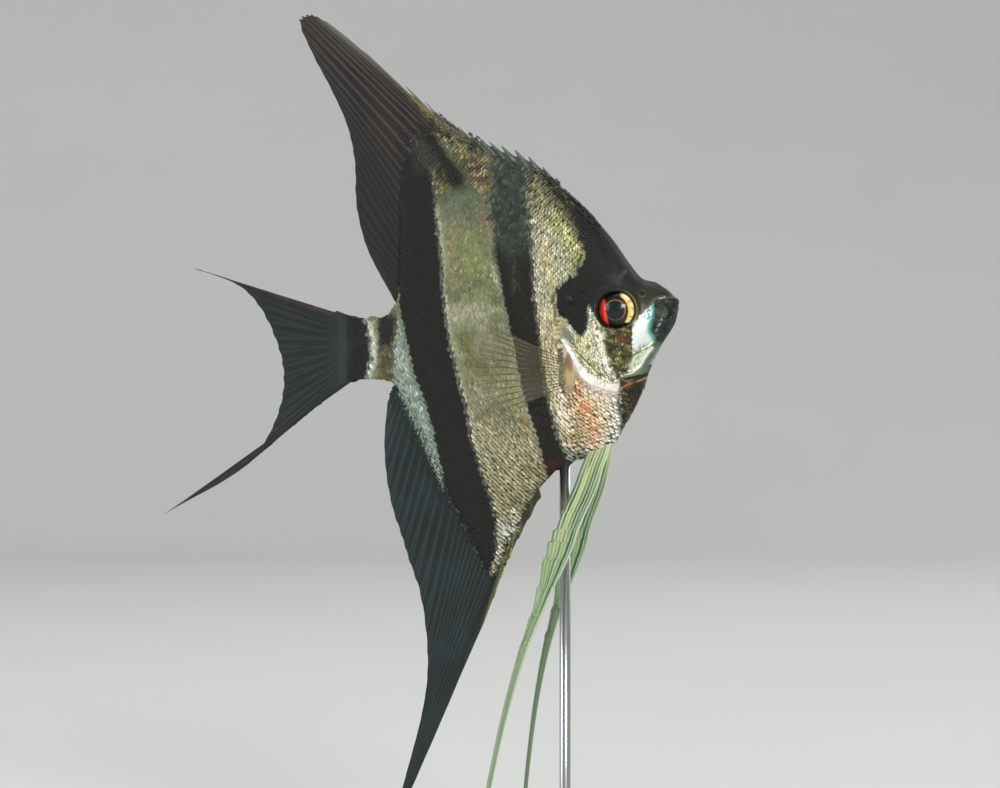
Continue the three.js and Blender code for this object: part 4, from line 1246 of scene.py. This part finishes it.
def rayed_sheet(
    place, rays, detail, steps, branch, spines=0.0, notch=0.3, ray=(0.4, 0.12), web=(0.28, 0.05)
):
    """Both faces of a fin as grids of points, with how much of a ray each point is.

    Rays and the web between them have their half thickness at the root and at the tip.
    """
    s = np.linspace(0, 1, rays * detail + 1)
    out = np.linspace(0, 1, steps)
    phase = s * rays % 1
    apart = np.minimum(phase, 1 - phase)[:, None]
    soft = ramp(s, spines - 0.01, spines + 0.01)[:, None]
    fork = FORK * ramp(out, branch, 1.0)[None] * soft
    bony = np.exp(-(((apart - fork) / (RAY_SPREAD[0] - RAY_SPREAD[1] * out[None])) ** 2))
    cut_back = (notch * (1 - soft) + SOFT_NOTCH * soft) * ramp(apart, 0.05, 0.35)
    reach = out[None] * (1 - cut_back)
    middle = place(np.broadcast_to(s[:, None], reach.shape), reach)
    side = np.cross(np.gradient(middle, axis=0), np.gradient(middle, axis=1))
    side /= np.linalg.norm(side, axis=-1, keepdims=True) + 1e-12
    side *= np.sign(side[..., 1:2]) * -1
    bone = ray[0] + (ray[1] - ray[0]) * out[None]
    skin_between = web[0] + (web[1] - web[0]) * out[None]
    half = skin_between + (bone - skin_between) * bony
    edge = np.minimum(ramp(s, 0, 0.004)[:, None] + 0.25, ramp(1 - s, 0, 0.004)[:, None] + 0.25)
    half = half * np.minimum(1, edge) * (0.3 + 0.7 * ramp(1 - out, 0, 0.02))[None]
    share = np.broadcast_to(s[:, None], reach.shape)
    return {
        "near": middle + side * half[..., None],
        "away": middle - side * half[..., None],
        "x": middle[..., 0],
        "z": middle[..., 2],
        "bony": bony,
        "share": share,
        "uv": np.stack([share * 0.48, reach * 0.98 + 0.01], axis=-1),
        "out_mm": np.linalg.norm(middle[:, -1:] - middle[:, :1], axis=-1) * reach,
    }


def closed_sheet(near, away):
    """Points and faces of two grids joined round their edges."""
    rows, columns = near.shape[:2]
    face = grid_faces(rows, columns)
    numbers = np.arange(rows * columns).reshape(rows, columns)
    rim = np.concatenate([numbers[0, :], numbers[1:, -1], numbers[-1, -2::-1], numbers[-2:0:-1, 0]])
    after = np.roll(rim, -1)
    half = rows * columns
    band = np.stack([rim, rim + half, after + half, after], axis=1)
    points = np.concatenate([near.reshape(-1, 3), away.reshape(-1, 3)])
    return points, np.concatenate([face, face[:, ::-1] + half, band])


def fin_piece(name, sheet, colour, material, slot, node, turn=1):
    """A fin's mesh, coloured alike on both faces, in place of its node of the frame."""
    points, faces = closed_sheet(sheet["near"], sheet["away"])
    faces = faces if turn == 1 else faces[:, ::-1]
    piece = make_piece(name, points * [1, turn, 1], faces, material, slot)
    store(piece, "pigment", np.tile(colour.reshape(-1, 3), (2, 1)))
    store(piece, "bony", np.tile(sheet["bony"].ravel(), 2))
    store(piece, "out_mm", np.tile(sheet["out_mm"].ravel(), 2))
    flat = sheet["uv"].reshape(-1, 2)
    bake_map(piece, np.concatenate([flat, flat + [0.51, 0]]))
    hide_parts(node)
    print(name, len(piece.data.polygons), "faces")


print("a fin's edge sways", WAVE, "mm to each side")

# %% The fins' material
def fin_material(name, roughness, rung, alpha=1.0):
    """Thin wet skin over bony rays, whose joints show as fine rungs across each ray."""
    material, tree = new_material(name)
    pigment = add(tree, "ShaderNodeAttribute", {"attribute_name": "pigment"})
    bony = add(tree, "ShaderNodeAttribute", {"attribute_name": "bony"})
    out = add(tree, "ShaderNodeAttribute", {"attribute_name": "out_mm"})
    turn = {"operation": "MULTIPLY", 1: 2 * math.pi / rung}
    turns = add(tree, "ShaderNodeMath", turn, {0: out.outputs["Fac"]})
    rungs = add(tree, "ShaderNodeMath", {"operation": "SINE"}, {0: turns})
    joints = add(tree, "ShaderNodeMath", {"operation": "MULTIPLY"}, {0: rungs, 1: bony.outputs["Fac"]})
    cells = add(tree, "ShaderNodeTexNoise", {"Scale": per_mm(0.4), "Detail": 3, "Roughness": 0.7})
    spread = {"From Min": 0.3, "From Max": 0.7, "To Min": 0.7, "To Max": 1.3}
    speckle = add(tree, "ShaderNodeMapRange", spread, {"Value": cells})
    tone = add(tree, "ShaderNodeMix", MULTIPLIED, {6: pigment, 7: speckle})
    bumps = add(tree, "ShaderNodeBump", {"Strength": 0.3, "Distance": 0.00003}, {"Height": joints})
    gloss = {"IOR": 1.4, "Specular IOR Level": 0.3, "Coat Weight": 0.1, "Coat Roughness": 0.25}
    shader = add(
        tree,
        "ShaderNodeBsdfPrincipled",
        {"Roughness": roughness, "Alpha": alpha, **gloss},
        {"Base Color": tone.outputs[2], "Normal": bumps},
    )
    add(tree, "ShaderNodeOutputMaterial", links={"Surface": shader})
    return material


# Dark fin skin is satin like wet paper, and the pale feelers are a little smoother.
sail_skin = fin_material("dark_fin_skin_over_rays", 0.55, 0.6)
feeler_skin = fin_material("pale_pelvic_fin_skin_over_rays", 0.45, 0.9)
print("fin materials:", sail_skin.name, feeler_skin.name)


# %% Back fin and anal fin
DORSAL_RAYS = [  # station the ray springs from, tip x, tip z
    (7.5, -1.9, 176.7), (8.3, -10.1, 182.7), (9.1, -17.7, 185.4), (9.9, -23.9, 188.2),
    (10.5, -29.3, 191.8), (10.9, -38.0, 198.5), (11.15, -60.1, 216.1), (11.6, -63.7, 217.4),
    (12.3, -65.7, 216.2), (13.2, -62.6, 208.2), (14.0, -58.0, 199.7), (14.7, -53.8, 190.4),
    (15.3, -52.0, 182.0), (15.9, -51.5, 171.3), (16.4, -49.0, 161.6), (16.8, -45.6, 154.9),
    (17.1, -42.2, 149.3),
]
ANAL_RAYS = [
    (9.5, -5.8, 101.8), (10.2, -10.4, 93.4), (10.9, -14.6, 84.9), (11.3, -17.9, 76.0),
    (11.6, -24.3, 61.7), (11.8, -32.4, 43.4), (12.0, -39.8, 27.8), (12.4, -41.6, 25.6),
    (12.9, -39.8, 32.8), (13.3, -37.4, 41.2), (13.7, -35.2, 49.6), (14.1, -33.8, 58.0),
    (14.5, -33.8, 67.5), (15.0, -35.5, 78.9), (15.5, -38.2, 86.5), (16.0, -40.0, 92.0),
    (16.5, -42.3, 98.4), (17.0, -44.0, 106.7), (17.4, -44.5, 115.0), (17.8, -43.7, 124.0),
]
ROOT_DEPTH = 1.6  # how deep the rays start inside the body


def median_fin(rays, edge, wave_count):
    """The middle surface of a fin that springs from the crest or the keel."""
    table = np.array(rays)
    at = smooth_curve(np.stack([np.arange(len(table)), table[:, 0]], axis=1))
    tips = smooth_curve(table[:, 1:])
    last = len(table) - 1

    def place(s, out):
        start = edge(at(s * last)[..., 1])
        tip = tips(s * last)
        away = tip - start
        start = start - away / (np.linalg.norm(away, axis=-1, keepdims=True) + 1e-9) * ROOT_DEPTH
        spot = start + (tip - start) * out[..., None]
        sway = WAVE * out**2 * np.sin(2 * np.pi * (wave_count * s + 0.35 * out))
        return np.stack([spot[..., 0], sway, spot[..., 1]], axis=-1)

    return place


dorsal = rayed_sheet(median_fin(DORSAL_RAYS, crest, 2.5), 38, 9, 56, 0.45, spines=0.345, notch=0.32)
x, z, bony, share = (dorsal[key] for key in ("x", "z", "bony", "share"))
lead = ramp(-share, -0.72, -0.42)
spiny = ramp(-share, -0.36, -0.33)
dorsal_colour = glazed(
    "#202424",
    ("#262321", lead),
    ("#3b2a24", 0.6 * lead * ramp(noise(x, z, 7, 8), 0.4, 0.8)),
    ("#857b72", 0.34 * bony * lead),
    ("#3c3f3e", 0.35 * bony),
    ("#7c817c", 0.6 * stroke([(-60.0, 216.4), (-37.0, 198.0), (-30.0, 192.2)], x, z, 1.0)),
    ("#454b46", spiny),
    ("#8b9690", 0.7 * bony * spiny),
    ("#8f854f", 0.8 * gold_dust(x, z)),
    ("#24241f", stroke(BACK_BLOTCH, x, z, 1.5)),
)
fin_piece("back_fin", dorsal, dorsal_colour, sail_skin, "fin", "dorsal_fin")

anal = rayed_sheet(median_fin(ANAL_RAYS, keel, 2.0), 34, 9, 60, 0.45, spines=0.17, notch=0.12)
x, z, bony, share = (anal[key] for key in ("x", "z", "bony", "share"))
front = ramp(-share, -0.19, -0.15)
anal_colour = glazed(
    "#1f2626",
    ("#313229", 0.5 * ramp(-share, -0.4, -0.2)),
    ("#263233", 0.45 * ramp(noise(x, z, 5, 10), 0.4, 0.8)),
    ("#435257", 0.38 * bony * ramp(share, 0.2, 0.4)),
    ("#5c5a3e", 0.8 * front),
    ("#c3bf7c", 0.9 * front * bony),
    ("#2b2c26", 0.85 * ramp(z, 88, 96) * front),
)
fin_piece("anal_fin_sail", anal, anal_colour, sail_skin, "fin", "anal_fin")

# %% [markdown]
# ## The scaly sheath
# The bases of the back fin and the anal fin are wrapped in a sheath of ever smaller scales, so no
# hard edge shows where the body ends. The same plates are laid on the fins, and shrink outward.

# %% Sheath scales
SHEATH_PITCH = 0.85  # width of a row where the sheath leaves the body


def sheath(name, sheet, colour, edge, between, depth):
    """Scales on both faces of a fin, out to some millimetres from the edge between two stations."""
    near = sheet["near"]
    surface = BVHTree.FromPolygons(near.reshape(-1, 3).tolist(), grid_faces(*near.shape[:2]).tolist())
    low, high = near.reshape(-1, 3).min(axis=0), near.reshape(-1, 3).max(axis=0)
    places = quincunx((low[0], low[2], high[0], high[2]), (SHEATH_PITCH, SHEATH_PITCH))
    line = edge(np.linspace(*between, 80))
    away, _ = line_distance(line, *places.T)
    limit = depth(places[:, 0], places[:, 1])
    hits, normals, faces = land(surface, places[away < limit])
    away = line_distance(line, hits[:, 0], hits[:, 2])[0] / depth(hits[:, 0], hits[:, 2])
    row, column = np.divmod(faces, near.shape[1] - 1)
    body_colour, _ = paint(hits[:, 0], hits[:, 2])
    blend = ramp(away, 0.0, 0.5)[:, None]
    scale_colour = body_colour * (1 - blend) + colour[row, column] * blend
    scales = {
        "hits": hits,
        "normals": normals,
        "uv": sheet["uv"][row, column],
        "size": SHEATH_PITCH * (1 - 0.4 * np.clip(away, 0, 1)),
        "rise": 0.06,
        "colour": scale_colour,
        "tip": scale_colour,
        "shine": 0.4 * (1 - blend[:, 0]),
        "contrast": 0.8 * rim_light_strength(hits[:, 0], hits[:, 2]),
        "glint": glints(0.6 * (1 - away)),
    }
    for mirror, hand in ((False, "right"), (True, "left")):
        shingle(f"{name}_{hand}", scales, "fin", mirror)
    print(name, "has", len(hits), "scales a side")


def back_depth(x, z):
    """How far the sheath reaches up the back fin, in millimetres."""
    return 1.5 + 4.5 * ramp(-x, 14, 30)


def anal_depth(x, z):
    """How far the sheath reaches down the anal fin, in millimetres."""
    return 1.4 + 2.6 * ramp(z, 84, 104)


sheath("back_fin_sheath", dorsal, dorsal_colour, crest, (7, 12.4), back_depth)
sheath("anal_fin_sheath", anal, anal_colour, keel, (10.5, 17.2), anal_depth)

# %% [markdown]
# ## Tail fin and feelers
# The tail fin is a fan of soft rays whose outermost two run on as threads. The pelvic fins have
# turned into long pale feelers, a few rays bound side by side and hanging from the chest. Flat
# cut-outs of them would vanish when seen edge on, so they use the same rayed sheet as the sails.
# Each needs only a function that says where a place on it lies.

# %% Tail fin
CAUDAL_TIPS = [
    (-94.0, 156.9), (-86.0, 154.4), (-79.9, 151.3), (-75.5, 146.5), (-72.0, 139.6), (-70.2, 133.2),
    (-70.1, 127.0), (-71.8, 120.4), (-74.9, 114.2), (-79.5, 108.6), (-100.6, 96.6),
]
TAIL_ROOT = {"x": -52.0, "top": 144.2, "bottom": 129.4}


def tail_place(s, out):
    """Where a share of the way down and a share of the way out lies on the tail fin."""
    tip = smooth_curve(CAUDAL_TIPS)(s * (len(CAUDAL_TIPS) - 1))
    start_z = TAIL_ROOT["top"] + (TAIL_ROOT["bottom"] - TAIL_ROOT["top"]) * s
    x = TAIL_ROOT["x"] + (tip[..., 0] - TAIL_ROOT["x"]) * out
    z = start_z + (tip[..., 1] - start_z) * out
    sway = WAVE * out**2 * np.sin(2 * np.pi * (1.5 * s + 0.3 * out))
    return np.stack([x, sway, z], axis=-1)


tail = rayed_sheet(tail_place, 18, 14, 48, 0.25, ray=(0.5, 0.12), web=(0.36, 0.05))
x, z, bony, share = (tail[key] for key in ("x", "z", "bony", "share"))
tail_colour = glazed(
    "#222727",
    ("#3b4241", 0.45 * bony),
    ("#6a5a57", 0.7 * ramp(-share, -0.16, -0.04) * (0.4 + 0.6 * bony)),
    ("#5f5a58", 0.6 * ramp(share, 0.94, 0.99) * bony),
    ("#20252a", 0.4 * ramp(noise(x, z, 2.2, 12), 0.55, 0.8)),
    ("#29332f", 0.85 * ramp(x, -60.5, -56.0)),
)
fin_piece("tail_fin_sail", tail, tail_colour, sail_skin, "fin", "tail_fin")

# %% Pelvic fins
PELVIC_FRONT = [
    (12.0, 117.5), (8.6, 104.0), (5.0, 95.3), (3.3, 89.5), (-2.0, 77.6), (-6.5, 65.8),
    (-9.7, 54.0), (-12.1, 42.0), (-14.5, 26.0), (-15.2, 14.0),
]
PELVIC_REAR = [
    (6.2, 114.6), (3.0, 104.0), (-1.0, 95.0), (-3.2, 89.5), (-5.2, 77.5), (-8.4, 65.7),
    (-11.0, 54.0), (-13.2, 42.0), (-15.5, 26.0), (-16.1, 14.0),
]
SPLAY, APEX = 0.2, 125.5  # how fast the feelers part below the height where they would meet


def pelvic_place(s, out):
    """Where a share across and a share of the way down lies on the right feeler."""
    front = smooth_curve(PELVIC_FRONT)(out * (len(PELVIC_FRONT) - 1))
    rear = smooth_curve(PELVIC_REAR)(out * (len(PELVIC_REAR) - 1))
    teeth = 0.13 * (out * 17 % 1) * ramp(out, 0.16, 0.2) * ramp(-out, -0.62, -0.5)
    spot = front + (rear - front) * (s * (1 - teeth))[..., None]
    fold = 0.35 * np.sin(np.pi * s * 2) * ramp(out, 0.05, 0.25) * (1 - out)
    tucked = 0.35 + 0.65 * ramp(out, 0.02, 0.075)
    aside = -SPLAY * (APEX - spot[..., 1]) * tucked + fold
    return np.stack([spot[..., 0], aside, spot[..., 1]], axis=-1)


pelvic = rayed_sheet(pelvic_place, 7, 10, 170, 0.9, ray=(0.42, 0.2), web=(0.22, 0.14))
z, bony, share = (pelvic[key] for key in ("z", "bony", "share"))
streak = noise(share * 15, z / 16, 1.0, 13)
fine = noise(share * 40, z / 9, 1.0, 17)
feeler_colour = glazed(
    "#7c9772",
    ("#35543a", 0.9 * ramp(streak, 0.48, 0.7)),
    ("#c4bf78", 0.8 * ramp(z, 80, 106) * ramp(-streak, -0.6, -0.3)),
    ("#bfd6ae", 0.75 * bony),
    ("#e2f0c4", 0.7 * bony * ramp(z, 84, 100)),
    ("#c6dcc2", 0.5 * ramp(fine, 0.55, 0.8)),
    ("#cfe0cc", 0.6 * ramp(-share, -0.12, -0.02)),
    ("#a4b99a", 0.5 * ramp(-z, -76, -50)),
    ("#3f5a57", 0.8 * ramp(share, 0.8, 1.0) * ramp(z, 92, 104)),
)
for hand, turn in (("right", 1), ("left", -1)):
    name = f"pelvic_feeler_{hand}"
    fin_piece(name, pelvic, feeler_colour, feeler_skin, "pale_fin", f"pelvic_fin_{hand}", turn)

# %% [markdown]
# ## Pectoral fins
# The pectoral fins fan the water all day, so their skin is as clear as film and only the rays show.
# A solid fan would hide the bars behind it. The skin is therefore one very thin sheet with a low
# alpha, and the rays are fine tapering rods that fork once, set into it as a piece of their own.

# %% Clear skin and forked rays
PECTORAL_ROOT = [(1.6, 134.4), (1.7, 131.0), (1.6, 127.4)]
PECTORAL_TIPS = [
    (-15.0, 142.4), (-17.4, 139.8), (-18.6, 135.6), (-18.8, 130.0), (-17.2, 124.6), (-13.2, 120.6),
]
PECTORAL_OUT = (7.0, 14.2)  # how far the root and the tip stand from the middle of the fish
FAN_RAYS = 13
ROD = (0.1, 0.038)  # radius of a ray at its root, and how much it loses


def fan_place(s, out):
    """Where a share of the way down and a share of the way out lies on the right fan."""
    root = smooth_curve(PECTORAL_ROOT)(s * (len(PECTORAL_ROOT) - 1))
    tip = smooth_curve(PECTORAL_TIPS)(s * (len(PECTORAL_TIPS) - 1))
    spot = root + (tip - root) * out[..., None]
    stand = PECTORAL_OUT[0] + (PECTORAL_OUT[1] - PECTORAL_OUT[0]) * np.sin(out * np.pi / 2) ** 0.9
    cup = 0.6 * out * (1 - (2 * s - 1) ** 2)
    return np.stack([spot[..., 0], -(stand - cup), spot[..., 1]], axis=-1)


def rod(path, radii, sides=6):
    """Points and faces of a closed rod along a path, with a radius at each step."""
    ahead = np.gradient(path, axis=0)
    ahead /= np.linalg.norm(ahead, axis=1, keepdims=True)
    side = np.cross(ahead, [0, 1, 0])
    side /= np.linalg.norm(side, axis=1, keepdims=True)
    other = np.cross(ahead, side)
    turn = np.linspace(0, 2 * np.pi, sides, endpoint=False)[None, :, None]
    round_it = side[:, None] * np.cos(turn) + other[:, None] * np.sin(turn)
    ring = path[:, None] + radii[:, None, None] * round_it
    ring = np.concatenate([path[:1, None].repeat(sides, 1), ring, path[-1:, None].repeat(sides, 1)])
    return ring.reshape(-1, 3), grid_faces(len(ring), sides, wrap=True)


def joined(parts):
    """Points and faces of several meshes as one."""
    points, faces, first = [], [], 0
    for part_points, part_faces in parts:
        points.append(part_points)
        faces.append(part_faces + first)
        first += len(part_points)
    return np.concatenate(points), np.concatenate(faces)


# The film is all but clear. The rays are damp bone, smooth enough for a thin bright line.
clear_skin = fin_material("clear_fin_skin", 0.3, 0.6, alpha=0.06)
ray_bone = fin_material("pectoral_fin_rays", 0.4, 0.5)
film = rayed_sheet(fan_place, FAN_RAYS, 4, 24, 0.5, ray=(0.05, 0.03), web=(0.04, 0.02))
film_colour = np.broadcast_to(linear("#a9a58c"), film["near"].shape)
rods = []
for i in range(FAN_RAYS):
    out = np.linspace(0, 0.97 - 0.05 * (i % 2), 22)
    for turn in (-1, 1):
        across_fan = (i + 0.5 + turn * FORK * ramp(out, 0.4, 1.0)) / FAN_RAYS
        rods.append(rod(fan_place(across_fan, out), ROD[0] - ROD[1] * out))
rod_points, rod_faces = joined(rods)
distance = np.linalg.norm(rod_points - fan_place(np.array([0.5]), np.array([0.0])), axis=1)
ray_colour = glazed(
    "#c9bf90", ("#6b6446", ramp(distance, 1.0, 5)), ("#534e36", 0.8 * ramp(distance, 9.0, 15.0))
)
for hand, turn in (("right", 1), ("left", -1)):
    node = f"pectoral_fin_{hand}"
    fin_piece(f"pectoral_skin_{hand}", film, film_colour, clear_skin, "clear_fin", node, turn)
    faces = rod_faces if turn == 1 else rod_faces[:, ::-1]
    piece = make_piece(f"pectoral_rays_{hand}", rod_points * [1, turn, 1], faces, ray_bone, "clear_fin")
    store(piece, "pigment", ray_colour)
    store(piece, "bony", np.ones(len(rod_points)))
    store(piece, "out_mm", distance)
    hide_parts(node)
print("each pectoral fin has", len(rods), "branches of rays")

# %% [markdown]
# ## Eyes
# A fish's eye has no lids. A clear dome covers a flat ring of iris, and the black first bar runs
# straight down across it, so the iris shows gold only in front and red only behind. The glass eye
# of a model is painted from the back. Here one smooth dome carries the painted iris under a
# polished coat, which keeps it simple and gives the same wet highlight.

# %% The painted iris
def iris(dx, dz):
    """Linear colours at places on the disc of the eye, in its radii: ahead and up."""
    r = np.hypot(dx, dz)
    rim = ramp(-r, -0.99, -0.95)
    mottle = noise(dx, dz, 0.16, 18)
    gold = ramp(np.hypot(dx + 0.2, dz + 0.05), 0.86, 0.91) * ramp(-r, -0.95, -0.91)
    gold = gold * ramp(dx + 0.1 * dz, 0.26, 0.4) * ramp(dz + 0.1 * mottle, -0.62, -0.5)
    red = ramp(-dx - 0.16 * dz, 0.48, 0.53) * ramp(-dz, -0.66, -0.5) * rim
    ring = np.exp(-(((r - 0.53) / 0.016) ** 2)) * (0.4 + 0.5 * ramp(dx + dz, -0.3, 0.5))
    brown = np.exp(-(((r - 0.62) / 0.05) ** 2)) * ramp(dx, 0.1, 0.4)
    return glazed(
        "#0e0d0c",
        ("#0e1518", ramp(-r, -0.5, -0.46)),
        ("#b39a76", ring),
        ("#5a3d22", 0.5 * brown),
        ("#efd878", gold),
        ("#fffdd8", gold * ramp(r, 0.78, 0.88) * ramp(mottle, 0.25, 0.55)),
        ("#c98a35", 0.5 * gold * ramp(-mottle, -0.45, -0.25)),
        ("#f43a32", red),
        ("#ff6a5c", 0.7 * red * ramp(mottle, 0.4, 0.8)),
        ("#a0201a", 0.3 * red * ramp(-dz, 0.2, 0.8)),
    )


# Glass over paint: fine streaks in the paint under a hard, polished clear coat.
glass_eye, tree = new_material("glass_eye_with_painted_iris")
pigment = add(tree, "ShaderNodeAttribute", {"attribute_name": "pigment"})
streaks = add(tree, "ShaderNodeTexNoise", {"Scale": per_mm(0.25), "Detail": 3})
spread = {"From Min": 0.3, "From Max": 0.7, "To Min": 0.75, "To Max": 1.25}
streaked = add(tree, "ShaderNodeMapRange", spread, {"Value": streaks})
tone = add(tree, "ShaderNodeMix", MULTIPLIED, {6: pigment, 7: streaked})
shader = add(
    tree,
    "ShaderNodeBsdfPrincipled",
    {"Roughness": 0.45, "Specular IOR Level": 0.2, "Coat Weight": 0.5, "Coat Roughness": 0.04},
    {"Base Color": tone.outputs[2]},
)
add(tree, "ShaderNodeOutputMaterial", links={"Surface": shader})
front_and_rear = iris(np.array([0.7, -0.7]), np.zeros(2))
print("the iris in linear light, front and rear:", front_and_rear.round(2).tolist())

# %% Both eyes
CORNEA = 0.3  # how far the clear dome stands out over the pupil

angle = np.linspace(0.01, np.pi - 0.01, 130)
bulge = CORNEA * np.exp(-((np.sin(angle) / 0.55) ** 2)) * (angle < np.pi / 2)
profile = np.stack([np.sin(angle) * EYE["radius"], EYE["depth"] * np.cos(angle) + bulge], axis=1)
dome, dome_faces = turned(profile, 120)
dome_disc = dome[:, :2] / EYE["radius"]
dome = np.stack([EYE["x"] + dome[:, 0], -EYE["out"] - dome[:, 2], EYE["z"] + dome[:, 1]], axis=1)
for hand, turn in (("right", 1), ("left", -1)):
    faces = dome_faces if turn == 1 else dome_faces[:, ::-1]
    eye = make_piece(f"glass_eye_{hand}", dome * [1, turn, 1], faces, glass_eye, "eye")
    store(eye, "pigment", iris(*dome_disc.T))
    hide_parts(f"eye_{hand}")
print("eyes are", 2 * EYE["radius"], "mm across")

# %% [markdown]
# ## The display stand
# A swimmer has to be held up. Museums use a turned wooden foot and one thin rod let into the belly,
# plain enough to be forgotten. Both are turned on a lathe in life, so both are profiles turned
# round an axis here, with the small rounded edges that a lathe and sandpaper leave.

# %% Walnut and steel
# Waxed walnut: brown figure along the grain, darker open pores and a low sheen.
walnut, tree = new_material("walnut_turned_and_waxed")
place = add(tree, "ShaderNodeTexCoord")
along_grain = {"Scale": (0.12, 1.0, 1.0)}
stretch = add(tree, "ShaderNodeMapping", along_grain, {"Vector": place.outputs["Object"]})
warp = add(tree, "ShaderNodeTexNoise", {"Scale": per_mm(18), "Detail": 4}, {"Vector": stretch})
wave = {"bands_direction": "Y", "Scale": per_mm(22), "Distortion": 5.0}
wave |= {"Detail": 3.0, "Detail Scale": 1.5}
figure = add(tree, "ShaderNodeTexWave", wave, {"Vector": stretch})
pores = add(tree, "ShaderNodeTexNoise", {"Scale": per_mm(0.7), "Detail": 2}, {"Vector": stretch})
browns = {"data_type": "RGBA", 6: rgba("#3a251a"), 7: rgba("#5c3f2b")}
heart = add(tree, "ShaderNodeMix", browns, {0: figure.outputs["Fac"]})
mid_brown = {"data_type": "RGBA", 7: rgba("#4a2f20")}
shaded = add(tree, "ShaderNodeMix", mid_brown, {0: warp, 6: heart.outputs[2]})
open_pores = {"From Min": 0.58, "From Max": 0.7, "To Max": 0.5}
holes = add(tree, "ShaderNodeMapRange", open_pores, {"Value": pores})
near_black = {"data_type": "RGBA", 7: rgba("#23150e")}
porous = add(tree, "ShaderNodeMix", near_black, {0: holes, 6: shaded.outputs[2]})
grain = add(tree, "ShaderNodeBump", {"Strength": 0.2, "Distance": 0.0001}, {"Height": pores})
wax = {"Roughness": 0.38, "Coat Weight": 0.2, "Coat Roughness": 0.3}
lacquer = {"Base Color": porous.outputs[2], "Normal": grain}
shader = add(tree, "ShaderNodeBsdfPrincipled", wax, lacquer)
add(tree, "ShaderNodeOutputMaterial", links={"Surface": shader})

# Polished stainless steel, a little uneven where it has been wiped.
steel, tree = new_material("stainless_steel_polished")
wipe = add(tree, "ShaderNodeTexNoise", {"Scale": per_mm(3), "Detail": 3})
polish = add(tree, "ShaderNodeMapRange", {"To Min": 0.16, "To Max": 0.3}, {"Value": wipe})
metal = {"Base Color": rgba("#c4c6c8"), "Metallic": 1.0}
shader = add(tree, "ShaderNodeBsdfPrincipled", metal, {"Roughness": polish})
add(tree, "ShaderNodeOutputMaterial", links={"Surface": shader})
print("stand materials:", walnut.name, steel.name)


# %% Foot and rod
def arc(centre, radius, first, last, steps=7):
    """Points of [radius, z] round a small arc, with its ends in degrees."""
    angle = np.radians(np.linspace(first, last, steps))
    return [[centre[0] + radius * math.cos(a), centre[1] + radius * math.sin(a)] for a in angle]


foot_high, rod_high = (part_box(node)[1] * 1000 for node in ("stand_base", "stand_rod"))
wide, top = foot_high.x, foot_high.z
foot_profile = [[0.01, 0], *arc((wide - 1.0, 1.0), 1.0, -90, 0)]
foot_profile += arc((wide - 1.2, top - 3.2), 1.2, 0, 80) + arc((wide - 2.3, top - 0.9), 0.9, 20, 90)
foot_profile += [[wide - 6.0, top], *arc((wide - 7.0, top), 0.5, 0, -180), [0.01, top]]
foot = make_piece("stand_foot", *turned(foot_profile, 160), walnut, "stand_wood")
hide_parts("stand_base")

thick = rod_high.x
collar = [[0.01, top - 0.2], [3.4, top - 0.2], *arc((3.0, top + 1.2), 0.4, 0, 90)]
collar += [[thick + 0.5, top + 1.6], *arc((thick + 0.3, top + 2.0), 0.4, -90, -180, 4)]
collar += [[thick, top + 3.0], [thick, rod_high.z + 0.4], [0.01, rod_high.z + 0.4]]
post = make_piece("stand_post", *turned(collar, 48), steel, "stand_steel")
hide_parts("stand_rod")
print("foot is", round(2 * wide), "mm across and the rod", round(2 * thick, 1))
